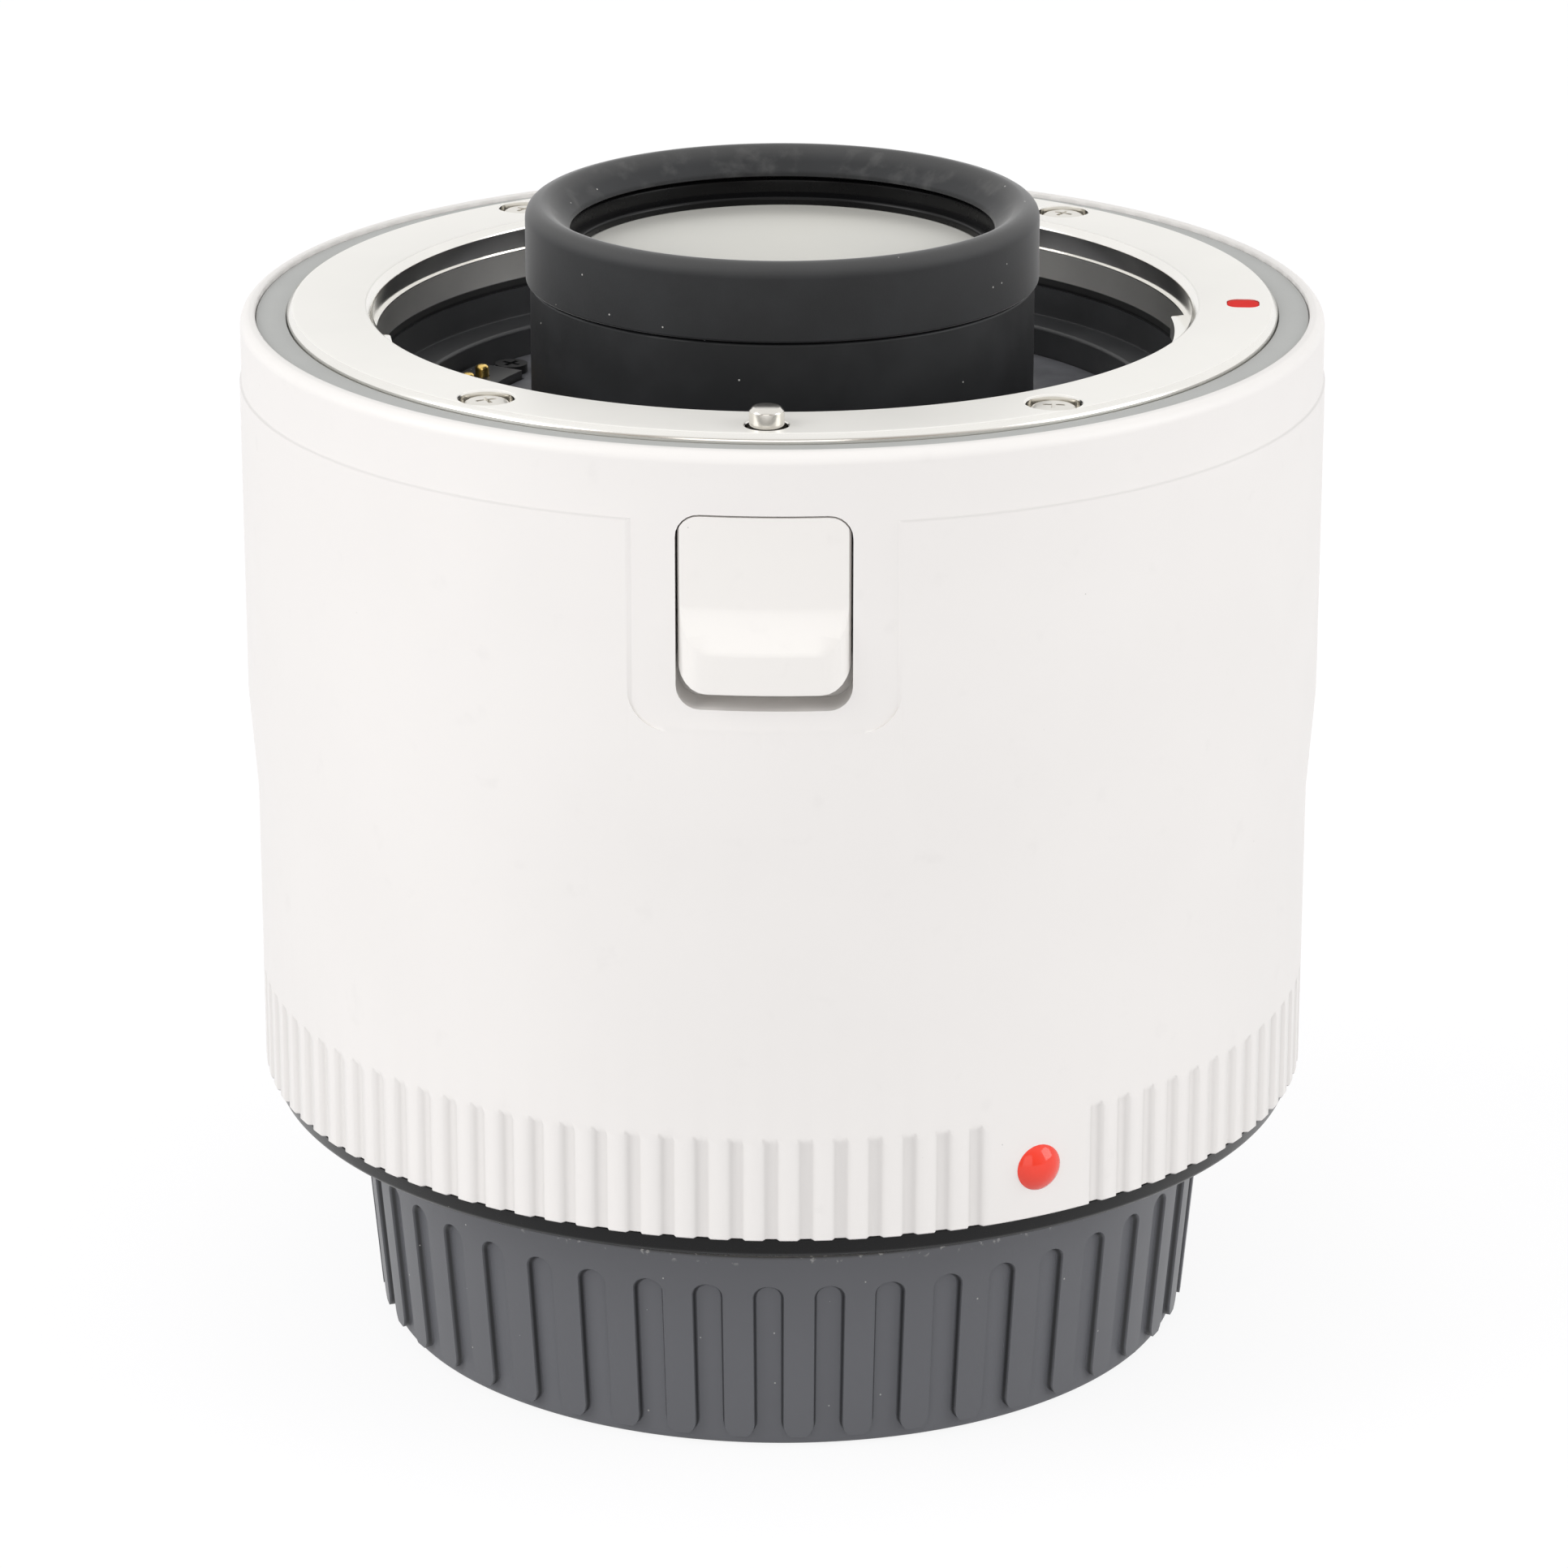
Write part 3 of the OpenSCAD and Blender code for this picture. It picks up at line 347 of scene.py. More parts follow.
def draw(name, points, rounds=()):
    """A flat face drawn point by point in edit mode, with (corner numbers, radius, segments) rounded."""
    bpy.ops.object.select_all(action="DESELECT")
    bpy.ops.mesh.primitive_plane_add(size=MM, location=(0, 0, 0))
    piece = called(bpy.context.object, name)
    spots = [Vector(point) * MM for point in points]
    bpy.ops.object.mode_set(mode="EDIT")
    bpy.ops.mesh.select_mode(type="VERT")
    all_points()
    bpy.ops.mesh.merge(type="CENTER")
    bpy.ops.transform.translate(value=spots[0])
    for here, there in zip(spots, spots[1:]):
        bpy.ops.mesh.extrude_vertices_move(TRANSFORM_OT_translate={"value": there - here})
    all_points()
    bpy.ops.mesh.edge_face_add()
    for corners, radius, segments in rounds:
        chosen = [spots[corner] for corner in corners]
        pick(piece, "VERT", lambda v: any((v.co - spot).length < HAIR for spot in chosen))
        bpy.ops.mesh.bevel(offset=radius * MM, segments=segments, affect="VERTICES")
    return piece


def close_up(piece):
    """Merges what meets, turns the faces outwards and leaves edit mode."""
    all_points()
    bpy.ops.mesh.remove_doubles(threshold=HAIR)
    all_points()
    bpy.ops.mesh.normals_make_consistent(inside=False)
    leave()
    if not piece.data.polygons:
        raise RuntimeError(f"{piece.name} came out without faces")
    return piece


def bare_outline(piece):
    """Leaves only the outline of a drawn face, without any edge on the axis."""
    all_points()
    bpy.ops.mesh.delete(type="ONLY_FACE")
    pick(piece, "EDGE", lambda e: all(reach(v.co) < HAIR / MM for v in e.verts))
    bpy.ops.mesh.delete(type="EDGE")
    bpy.ops.mesh.select_mode(type="VERT")
    all_points()


def section(name, profile, rounds=(), start=0.0):
    """The outline of (radius, height) points at a direction, left open in edit mode."""
    piece = draw(name, [(r * math.sin(start), -r * math.cos(start), z) for r, z in profile], rounds)
    bare_outline(piece)
    return piece


def spin(steps, angle, dupli=False):
    """Turns what is selected about the axis."""
    bpy.ops.mesh.spin(steps=steps, angle=angle, dupli=dupli, center=(0, 0, 0), axis=(0, 0, 1))


def draw_in(share):
    """Moves what is selected towards the axis."""
    bpy.ops.transform.resize(value=(share, share, 1), center_override=(0, 0, 0))


def turned(name, profile, steps, rounds=(), start=0.0):
    """A piece turned on the axis from (radius, height) points, its first seam at direction start."""
    piece = section(name, profile, rounds, start)
    spin(steps, FULL_TURN)
    return close_up(piece)


def coil_spring(name, coil, heights):
    """A closed wire of (radius, wire radius, turns) wound round the axis between two heights."""
    radius, wire, turns = coil
    low, high = heights
    sides = 8
    rim = []
    for k in range(sides):
        a = FULL_TURN * k / sides
        rim.append((radius + wire * math.cos(a), 0, low + wire + wire * math.sin(a)))
    piece = draw(name, rim)
    bare_outline(piece)
    leave()
    winding = piece.modifiers.new("winding", "SCREW")
    winding.iterations = turns
    winding.screw_offset = (high - low - 2 * wire) / turns * MM
    winding.steps = 24
    winding.render_steps = 24
    bpy.ops.object.modifier_apply(modifier=winding.name)
    edit(piece)
    all_points()
    bpy.ops.mesh.fill_holes(sides=0)
    return close_up(piece)


def plate(name, points, push, rounds=()):
    """A plate drawn as an outline and pushed out to its thickness."""
    piece = draw(name, points, rounds)
    all_points()
    bpy.ops.mesh.extrude_region_move(TRANSFORM_OT_translate={"value": Vector(push) * MM})
    return close_up(piece)


def upright(width, low, high, y):
    """Corners of a rectangle that stands across the button side, from its lower left round."""
    half = width / 2
    return [(-half, y, low), (half, y, low), (half, y, high), (-half, y, high)]


def put(piece, az=0.0, place=(0, 0, 0), tilt=0.0):
    """Tilts a piece about X, moves it to its place in millimetres, and swings it round to a direction."""
    only(piece)
    piece.rotation_euler.x = tilt
    piece.location = Vector(place) * MM
    bpy.ops.object.transform_apply(location=True, rotation=True, scale=True)
    piece.rotation_euler.z = az
    bpy.ops.object.transform_apply(location=True, rotation=True, scale=True)
    return piece


def copy_of(piece, name):
    """A copy of a piece with its own mesh."""
    only(piece)
    bpy.ops.object.duplicate(linked=False)
    return called(bpy.context.object, name)


def joined(pieces, name):
    """Several pieces as one."""
    bpy.ops.object.select_all(action="DESELECT")
    for piece in pieces:
        piece.select_set(True)
    bpy.context.view_layer.objects.active = pieces[0]
    bpy.ops.object.join()
    return called(bpy.context.object, name)


def around(piece, name, directions):
    """Copies of a piece at several directions, as one piece."""
    copies = [put(copy_of(piece, name), az) for az in directions]
    bpy.data.objects.remove(piece)
    return joined(copies, name)


def ring_of(piece, count):
    """Repeats a piece evenly round the axis, in one mesh."""
    edit(piece)
    all_points()
    spin(count - 1, FULL_TURN * (count - 1) / count, dupli=True)
    return close_up(piece)


def carve(piece, cutter, operation="DIFFERENCE"):
    """Cuts a piece with another, which is used up."""
    only(piece)
    cut = piece.modifiers.new("cut", "BOOLEAN")
    cut.operation = operation
    cut.solver = "EXACT"
    cut.object = cutter
    bpy.ops.object.modifier_apply(modifier=cut.name)
    bpy.data.objects.remove(cutter)
    if not piece.data.polygons:
        raise RuntimeError(f"{piece.name} was cut away")
    return piece


def soften(piece, width, angle, segments):
    """Rounds the edges of a piece that are sharper than an angle in degrees."""
    only(piece)
    bevel = piece.modifiers.new("soft edge", "BEVEL")
    bevel.width = width * MM
    bevel.segments = segments
    bevel.limit_method = "ANGLE"
    bevel.angle_limit = math.radians(angle)
    bpy.ops.object.modifier_apply(modifier=bevel.name)
    return piece


def dress(piece, look, body, node, smooth=30.0):
    """Gives a piece its shading, finish and body, and lets it stand for its CAD node."""
    only(piece)
    bpy.ops.object.shade_smooth_by_angle(angle=math.radians(smooth))
    even = piece.modifiers.new("even light", "WEIGHTED_NORMAL")
    even.keep_sharp = True
    bpy.ops.object.modifier_apply(modifier=even.name)
    piece.data.materials.clear()
    piece.data.materials.append(finish(look))
    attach(piece, body)
    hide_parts(node)
    return piece


def dress_spring(piece, place, node):
    """Puts a spring in its place and gives it a mesh of its own."""
    dress(put(piece, 0.0, place), "spring_steel", "barrel", node, smooth=60.0)
    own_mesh(piece)


def coat(look, *names):
    """Gives CAD nodes that keep their shapes their finish."""
    for name in names:
        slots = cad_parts[name].data.materials
        slots.clear()
        slots.append(finish(look))


class Wire:
    """A value in a material. Sums and products of wires add the Math nodes that work them out."""

    def __init__(self, finish, socket):
        self.finish = finish
        self.socket = socket

    def math(self, operation, first, second):
        """One Math node on two values."""
        return self.finish.node("ShaderNodeMath", {"operation": operation}, {0: first, 1: second})

    def __add__(self, other):
        return self.math("ADD", self, other)

    def __radd__(self, other):
        return self.math("ADD", other, self)

    def __sub__(self, other):
        return self.math("SUBTRACT", self, other)

    def __rsub__(self, other):
        return self.math("SUBTRACT", other, self)

    def __mul__(self, other):
        return self.math("MULTIPLY", self, other)

    def __rmul__(self, other):
        return self.math("MULTIPLY", other, self)

    def __truediv__(self, other):
        return self.math("DIVIDE", self, other)

    def __rtruediv__(self, other):
        return self.math("DIVIDE", other, self)

    def __lt__(self, other):
        return self.math("LESS_THAN", self, other)


class Finish:
    """The nodes of a material or of the sky in the making."""

    def __init__(self, owner, place="Object"):
        owner.use_nodes = True
        self.owner = owner
        self.tree = owner.node_tree
        self.tree.nodes.clear()
        self.spot = self.node("ShaderNodeTexCoord", out=place)

    def node(self, kind, settings=None, sockets=None, out=0):
        """Adds any node: first its settings, then the values or wires of its sockets."""
        made = self.tree.nodes.new(kind)
        for key, value in (settings or {}).items():
            setattr(made, key, value)
        for key, value in (sockets or {}).items():
            if isinstance(value, Wire):
                self.tree.links.new(value.socket, made.inputs[key])
            else:
                made.inputs[key].default_value = value
        return Wire(self, made.outputs[out])

    def noise(self, size, detail=2.0, stretch=None):
        """Cloudy noise whose lumps are about size millimetres across."""
        where = self.spot
        if stretch:
            where = self.node("ShaderNodeMapping", None, {"Vector": self.spot, "Scale": stretch})
        return self.node(
            "ShaderNodeTexNoise", None, {"Vector": where, "Scale": 1 / (size * MM), "Detail": detail}
        )

    def specks(self, spacing, radius, share):
        """Round specks of a radius, in millimetres, in a share of the cells of a scattered grid."""
        cells = {"Vector": self.spot, "Scale": 1 / (spacing * MM)}
        near = self.node("ShaderNodeTexVoronoi", None, cells, "Distance")
        lot = self.node("ShaderNodeTexVoronoi", None, cells, "Color")
        draw_lot = self.node("ShaderNodeSeparateColor", None, {0: lot}, "Red")
        return (near < radius / spacing) * (draw_lot < share)

    def ease(self, value, low, high):
        """A smooth step from 0 at low to 1 at high."""
        return self.node(
            "ShaderNodeMapRange", {"interpolation_type": "SMOOTHSTEP"}, {0: value, 1: low, 2: high}
        )

    def blend(self, share, first, second):
        """A colour between two."""
        return self.node("ShaderNodeMix", {"data_type": "RGBA"}, {0: share, 6: first, 7: second}, 2)

    def bump(self, height, depth):
        """A normal from a height, whose full range is depth millimetres deep."""
        sockets = {"Strength": 1.0, "Distance": depth * MM, "Height": height}
        return self.node("ShaderNodeBump", None, sockets, "Normal")

    def axis_distance(self):
        """Distance from the optical axis, in millimetres."""
        flat = self.node(
            "ShaderNodeVectorMath", {"operation": "MULTIPLY"}, {0: self.spot, 1: (1.0, 1.0, 0.0)}
        )
        span = self.node("ShaderNodeVectorMath", {"operation": "LENGTH"}, {0: flat}, "Value")
        return span / MM

    def height(self):
        """Height along the optical axis, in millimetres."""
        return self.node("ShaderNodeSeparateXYZ", None, {0: self.spot}, "Z") / MM

    def surface(self, sockets):
        """The main shader."""
        return self.node("ShaderNodeBsdfPrincipled", None, sockets)

    def seen(self):
        """1 where a surface is looked at, straight or in metal and glass, and 0 where it gives light."""
        camera, glossy, through = (
            self.node("ShaderNodeLightPath", out=f"Is {kind} Ray")
            for kind in ("Camera", "Glossy", "Transmission")
        )
        return camera.math("MAXIMUM", camera, glossy.math("MAXIMUM", glossy, through))

    def done(self, shader, output="ShaderNodeOutputMaterial"):
        """Puts a shader on the output and gives back what carries the nodes."""
        end = self.tree.nodes.new(output)
        self.tree.links.new(shader.socket, end.inputs["Surface"])
        return self.owner


# Pale dust colour; on the bumper's rim top it also serves as a painted highlight
PALE_DUST_AND_HIGHLIGHT = (0.5, 0.49, 0.47, 1.0)


def rgba(colour, gain=1.0):
    """A colour with its alpha, made lighter or darker by a gain."""
    return tuple(min(1.0, c * gain) for c in colour[:3]) + (1.0,)


def painted(name, colour, rough, peel, grip=0.0):
    """Sprayed satin paint: faint clouds, an orange peel, dust, and painted shade in the grooves inside a
    radius.
    """
    f = Finish(bpy.data.materials.new(name))
    clouds = f.noise(14.0, 3.0)
    dirt = f.noise(2.2, 4.0)
    shade = f.blend(f.ease(clouds, 0.3, 0.7), rgba(colour, 0.99), rgba(colour, 1.006))
    shade = f.blend(f.ease(dirt, 0.62, 0.8) * 0.2, shade, rgba(colour, 0.86))
    shade = f.blend(f.specks(2.4, 0.045, 0.3) * 0.5, shade, rgba(colour, 0.42))
    # Painted shade: inside the grip radius the groove floors are darkened as if by the shade that falls in
    # them
    if grip:
        shade = f.blend(f.ease(grip - f.axis_distance(), 0.06, 0.28) * 0.6, shade, rgba(colour, 0.88))
    grain = f.noise(0.32, 2.0) * 0.7 + f.noise(0.09, 1.0) * 0.3
    return f.done(f.surface({
        "Base Color": shade,
        "Roughness": rough + f.noise(3.0, 2.0) * 0.12,
        "Specular IOR Level": 0.42,
        "Normal": f.bump(grain, peel),
    }))


def matt_grey(name, colour):
    """Blasted and anodised metal with a fine even grain."""
    f = Finish(bpy.data.materials.new(name))
    grain = f.noise(0.12, 2.0)
    shade = f.blend(f.noise(5.0, 3.0), rgba(colour, 0.94), rgba(colour, 1.05))
    shade = f.blend(f.specks(1.3, 0.05, 0.05) * 0.5, shade, rgba(colour, 1.5))
    return f.done(f.surface({
        "Base Color": shade,
        "Roughness": 0.52 + grain * 0.14,
        "Metallic": 0.25,
        "Normal": f.bump(grain, 0.006),
    }))


def turned_metal(name, colour, rough, lines):
    """Plated metal with fine rings left by the lathe and faint thumb marks."""
    f = Finish(bpy.data.materials.new(name))
    smear = f.noise(6.0, 3.0)
    return f.done(f.surface(plating(f, colour, smear, rough + smear * 0.1, lines)))


def plating(f, colour, smear, rough, lines):
    """Sockets of a plated surface with fine rings around the axis."""
    across = {"W": f.axis_distance(), "Scale": 9.0, "Detail": 3.0}
    rings = f.node("ShaderNodeTexNoise", {"noise_dimensions": "1D"}, across)
    return {
        "Base Color": f.blend(f.ease(smear, 0.35, 0.75), rgba(colour, 0.96), rgba(colour)),
        "Metallic": 1.0,
        "Roughness": rough,
        "Normal": f.bump(rings, lines),
    }


def mount_plating(name, colour, satin, face, dull_below, black_below):
    """The mount's plating: a blasted face, bright edges, dull lugs, and a blackened wall under the lip."""
    f = Finish(bpy.data.materials.new(name))
    smear = f.noise(6.0, 3.0)
    on_face = f.ease(f.height(), face - 0.06, face - 0.02)
    scratch = f.ease(f.noise(0.7, 2.0, (1.0, 7.0, 1.0)), 0.66, 0.74)
    dull = 1.0 - f.ease(f.height(), dull_below - 0.1, dull_below)
    rough = 0.12 + smear * 0.08 + on_face * (0.26 + scratch * 0.05) + dull * 0.2
    sockets = plating(f, colour, smear, rough, 0.0012)
    blasted = f.blend(smear, rgba(satin, 0.97), rgba(satin, 1.03))
    sockets["Base Color"] = f.blend(on_face, sockets["Base Color"], blasted)
    sockets["Metallic"] = 1.0 - on_face * 0.75
    metal = f.surface(sockets)
    black = f.surface({
        "Base Color": f.blend(smear, (0.014, 0.014, 0.014, 1.0), (0.022, 0.022, 0.022, 1.0)),
        "Roughness": 0.45 + smear * 0.1,
    })
    plated_share = f.ease(f.height(), black_below - 0.04, black_below + 0.04)
    return f.done(f.node("ShaderNodeMixShader", None, {0: plated_share, 1: black, 2: metal}))


def dusty_black(name, colour, rough, grain_size, grain_depth, dust, shine=0.4):
    """Black moulded or anodised finish with a fine grain, worn patches and stray dust."""
    f = Finish(bpy.data.materials.new(name))
    worn = f.noise(3.5, 4.0)
    shade = f.blend(f.ease(worn, 0.35, 0.75), rgba(colour, 0.88), rgba(colour, 1.2))
    shade = f.blend(f.specks(1.2, 0.06, 0.5 * dust), shade, PALE_DUST_AND_HIGHLIGHT)
    return f.done(f.surface({
        "Base Color": shade,
        "Roughness": rough + worn * 0.14,
        "Specular IOR Level": shine,
        "Normal": f.bump(f.noise(grain_size, 3.0), grain_depth),
    }))


def rubber_skin(name, colour, s):
    """Soft black rubber: a fine grain, a rim top lightened by dust and a painted highlight, a dusty inner
    slope, and stray specks.
    """
    f = Finish(bpy.data.materials.new(name))
    worn = f.noise(3.5, 4.0)
    top = BUMPER_HIGH.z
    shade = f.blend(f.ease(worn, 0.35, 0.75), rgba(colour, 0.88), rgba(colour, 1.15))
    # Dust and painted highlight: the rounded rim top is lightened towards its highest point
    shade = f.blend(f.ease(f.height(), top - s.top_round, top) * 0.08, shade, PALE_DUST_AND_HIGHLIGHT)
    inside = 1 - f.ease(f.axis_distance(), s.rim_inner - 0.2, s.rim_inner + 0.1)
    smudge = f.ease(f.noise(1.6, 4.0), 0.5, 0.75)
    shade = f.blend(inside * smudge * 0.06, shade, PALE_DUST_AND_HIGHLIGHT)
    shade = f.blend(f.specks(1.2, 0.06, 0.6), shade, PALE_DUST_AND_HIGHLIGHT)
    return f.done(f.surface({
        "Base Color": shade,
        "Roughness": 0.56 + worn * 0.14,
        "Specular IOR Level": 0.4,
        "Sheen Weight": 0.4,
        "Sheen Roughness": 0.32,
        "Normal": f.bump(f.noise(0.1, 3.0), 0.006),
    }))


def ribbed_plastic(name, colour, s):
    """Moulded cap plastic: rougher flute floors painted lighter against their shade, painted shade along
    the flute walls, and lint on the upper edge.
    """
    f = Finish(bpy.data.materials.new(name))
    grain = f.noise(0.16, 3.0)
    top = CAP_HIGH.z
    depth = (s.radius - s.draft) + f.height() * (s.draft / top) - f.axis_distance()
    floor = f.ease(depth, s.flute_depth * 0.55, s.flute_depth * 0.95)
    wall = f.ease(depth, 0.04, s.flute_depth * 0.4) * (1 - floor)
    shade = f.blend(f.noise(9.0, 2.0), rgba(colour, 0.96), rgba(colour, 1.05))
    # Painted light: the flute floors are lightened to make up for the shade that falls in them
    shade = f.blend(floor * 0.8, shade, rgba(colour, 1.16))
    # Painted shade: the flute walls are darkened where shade falls in the creases
    shade = f.blend(wall * 0.9, shade, rgba(colour, 0.12))
    at_edge = f.ease(f.height(), top - 0.7, top - 0.2)
    shade = f.blend(f.ease(f.noise(0.5, 3.0), 0.6, 0.7) * at_edge * 0.5, shade, PALE_DUST_AND_HIGHLIGHT)
    shade = f.blend(f.specks(1.2, 0.06, 0.35) * 0.7, shade, PALE_DUST_AND_HIGHLIGHT)
    return f.done(f.surface({
        "Base Color": shade,
        "Roughness": 0.36 + floor * 0.12 + f.noise(2.0, 2.0) * 0.08,
        "Specular IOR Level": 0.45,
        "Normal": f.bump(grain, 0.006),
    }))


def gloss(name, colour, rough, shine):
    """Glossy lacquer with a little waviness and fine dust."""
    f = Finish(bpy.data.materials.new(name))
    shade = f.blend(f.noise(2.0, 3.0), rgba(colour, 0.88), rgba(colour, 1.1))
    shade = f.blend(f.specks(1.6, 0.04, 0.05) * 0.4, shade, (0.5, 0.48, 0.45, 1.0))
    return f.done(f.surface({
        "Base Color": shade,
        "Roughness": rough + f.noise(1.2, 3.0) * 0.08,
        "Specular IOR Level": shine,
        "Normal": f.bump(f.noise(1.4, 2.0), 0.006),
    }))


def glass(name, colour):
    """Coated optical glass: dark and clear from in front, with a painted pale reflection where it is seen
    at a slant.
    """
    f = Finish(bpy.data.materials.new(name))
    slant = f.node("ShaderNodeLayerWeight", None, {"Blend": 0.5}, "Facing")
    film = f.noise(7.0, 2.0)
    clear = f.surface({
        "Base Color": rgba(colour),
        "Transmission Weight": 1.0,
        "IOR": 1.52,
        "Roughness": 0.012 + film * 0.01,
    })
    # Painted reflection: a pale, half diffuse coat stands in for the reflections inside the lens when it is
    # seen at a slant
    sheen = f.surface({
        "Base Color": f.blend(film, (0.75, 0.735, 0.68, 1.0), (0.72, 0.715, 0.68, 1.0)),
        "Metallic": 0.5,
        "Roughness": 0.22 + film * 0.06,
    })
    share = f.ease(slant, 0.08, 0.36) * 0.92 + 0.04
    return f.done(f.node("ShaderNodeMixShader", None, {0: share, 1: clear, 2: sheen}))


def plated(name, colour):
    """Bright plated contact metal with small rub marks."""
    f = Finish(bpy.data.materials.new(name))
    rub = f.noise(0.25, 3.0)
    return f.done(f.surface({
        "Base Color": f.blend(rub, rgba(colour, 0.9), rgba(colour, 1.08)),
        "Metallic": 1.0,
        "Roughness": 0.22 + rub * 0.14,
        "Normal": f.bump(f.noise(0.05, 2.0), 0.002),
    }))


def lacquer(name, colour):
    """Lacquered board or film with faint lines under it."""
    f = Finish(bpy.data.materials.new(name))
    tracks = {"Vector": f.spot, "Scale": 300.0, "Distortion": 1.5}
    lines = f.node("ShaderNodeTexWave", {"bands_direction": "Y"}, tracks)
    return f.done(f.surface({
        "Base Color": f.blend(f.ease(lines, 0.6, 0.8) * 0.5, rgba(colour, 0.85), rgba(colour, 1.6)),
        "Roughness": 0.38 + f.noise(0.8, 2.0) * 0.15,
        "Normal": f.bump(lines, 0.008),
    }))


# Heights below which the mount's plating is dull, and below which it is black
DULL_BELOW = 68.72
BLACK_BELOW = 66.75


def finish(look):
    """A finish by its name, made once from the colours in the sidebar."""
    name = f"{look}_finish"
    if name in bpy.data.materials:
        return bpy.data.materials[name]
    scene = bpy.context.scene
    c = scene.tele_colours
    makers = {
        "white_paint": (painted, c.paint, 0.36, 0.0035, scene.tele_barrel.grip_radius / MM),
        "white_button": (painted, c.button, 0.3, 0.002),
        "grey_trim": (matt_grey, c.trim),
        "mount_steel": (mount_plating, c.chrome, c.satin, MOUNT_HIGH.z, DULL_BELOW, BLACK_BELOW),
        "rear_steel": (turned_metal, c.chrome, 0.18, 0.0012),
        "screw_steel": (turned_metal, c.steel, 0.3, 0.001),
        "pin_steel": (turned_metal, c.steel, 0.14, 0.001),
        "spring_steel": (turned_metal, c.spring, 0.3, 0.002),
        "red_inlay": (gloss, c.red, 0.42, 0.03),
        "red_dome": (gloss, c.dome, 0.06, 0.5),
        "black_liner": (dusty_black, c.liner, 0.36, 0.25, 0.004, 0.15, 0.5),
        # Painted light: the throat floor's colour is lightened to offset its shade
        "throat_grey": (dusty_black, c.floor, 0.16, 0.25, 0.003, 0.15, 0.6),
        "black_nose": (dusty_black, c.nose, 0.46, 0.14, 0.004, 0.6),
        "black_tube": (dusty_black, c.nose, 0.5, 0.2, 0.005, 0.1),
        "rubber": (rubber_skin, c.rubber, in_mm(scene.tele_nose)),
        "gloss_black": (gloss, c.collar, 0.24, 0.2),
        "cap_plastic": (ribbed_plastic, c.cap, in_mm(scene.tele_cap)),
        "gold": (plated, c.gold),
        "board": (lacquer, c.board),
        "flex": (lacquer, c.flex),
        "lens_glass": (glass, c.glass),
    }
    maker, *values = makers[look]
    return maker(name, *values)


# How far cutters reach past what they cut
CLEAR = 3.0
GROOVE_PLACES = 100
PLAIN_PLACES = 1
# Steps across one groove place, in degrees: land, wall, floor, floor, wall, land
GROOVE_STEPS = (0.90, 0.32, 0.58, 0.58, 0.32, 0.90)
GROOVE_FLOOR = 0.72
SHELF_TOP = 65.0
TUBE_SHELF = (48.0, 46.0)
TUBE_SHELF_RADIUS = 23.95
SEAT_LEVEL = 68.9
SEAT_RADIUS = 28.75


def barrel_shell(s):
    """The white barrel: a groove turned in uneven steps, repeated round, then cut for the button."""
    bottom, top = BARREL_LOW.z, BARREL_HIGH.z
    step = s.radius - s.band_radius
    profile = [
        (s.bore, bottom), (s.grip_radius, bottom), (s.grip_radius, s.groove_top - s.groove_fade),
        (s.grip_radius, s.groove_top), (s.grip_radius, s.taper_low), (s.radius, s.taper_high),
        (s.radius, s.band_low - step), (s.band_radius, s.band_low), (s.band_radius, top),
        (s.rim_inner, top), (s.rim_inner, SEAT_LEVEL), (SEAT_RADIUS, SEAT_LEVEL),
        (SEAT_RADIUS, SHELF_TOP), (s.bore, SHELF_TOP), (s.bore, TUBE_SHELF[0]),
        (TUBE_SHELF_RADIUS, TUBE_SHELF[0]), (TUBE_SHELF_RADIUS, TUBE_SHELF[1]), (s.bore, TUBE_SHELF[1]),
    ]
    pitch = FULL_TURN / GROOVE_PLACES
    start = s.dome_direction - pitch / 2
    rounds = [((8,), s.rim_round, 6), ((9,), 0.12, 2), ((1,), 0.1, 1)]
    shell = section("barrel_shell", profile, rounds, start)
    for degrees in GROOVE_STEPS:
        spin(1, math.radians(degrees))
    leave()
    ring_of(shell, GROOVE_PLACES)

    def on_floor(vert):
        turn = (heading(vert.co) - s.dome_direction) / pitch
        place = round(turn)
        beside = abs(turn - place) * math.degrees(pitch)
        plain = min(place % GROOVE_PLACES, -place % GROOVE_PLACES) <= PLAIN_PLACES
        outside = reach(vert.co) > s.grip_radius - s.groove_depth
        below = vert.co.z < (s.groove_top - s.groove_fade / 2) * MM
        return outside and not plain and beside < GROOVE_FLOOR and below

    edit(shell)
    pick(shell, "VERT", on_floor)
    draw_in(1 - s.groove_depth / s.grip_radius)
    leave()

    carve(shell, tongue_cutter(s))
    outer = s.radius + CLEAR
    window = plate(
        "window_cutter", upright(s.window_width, s.window_low, s.window_high, -outer),
        (0, outer - s.bore + 2, 0), [((0, 1, 2, 3), s.window_corner, 6)],
    )
    carve(shell, window)
    return shell


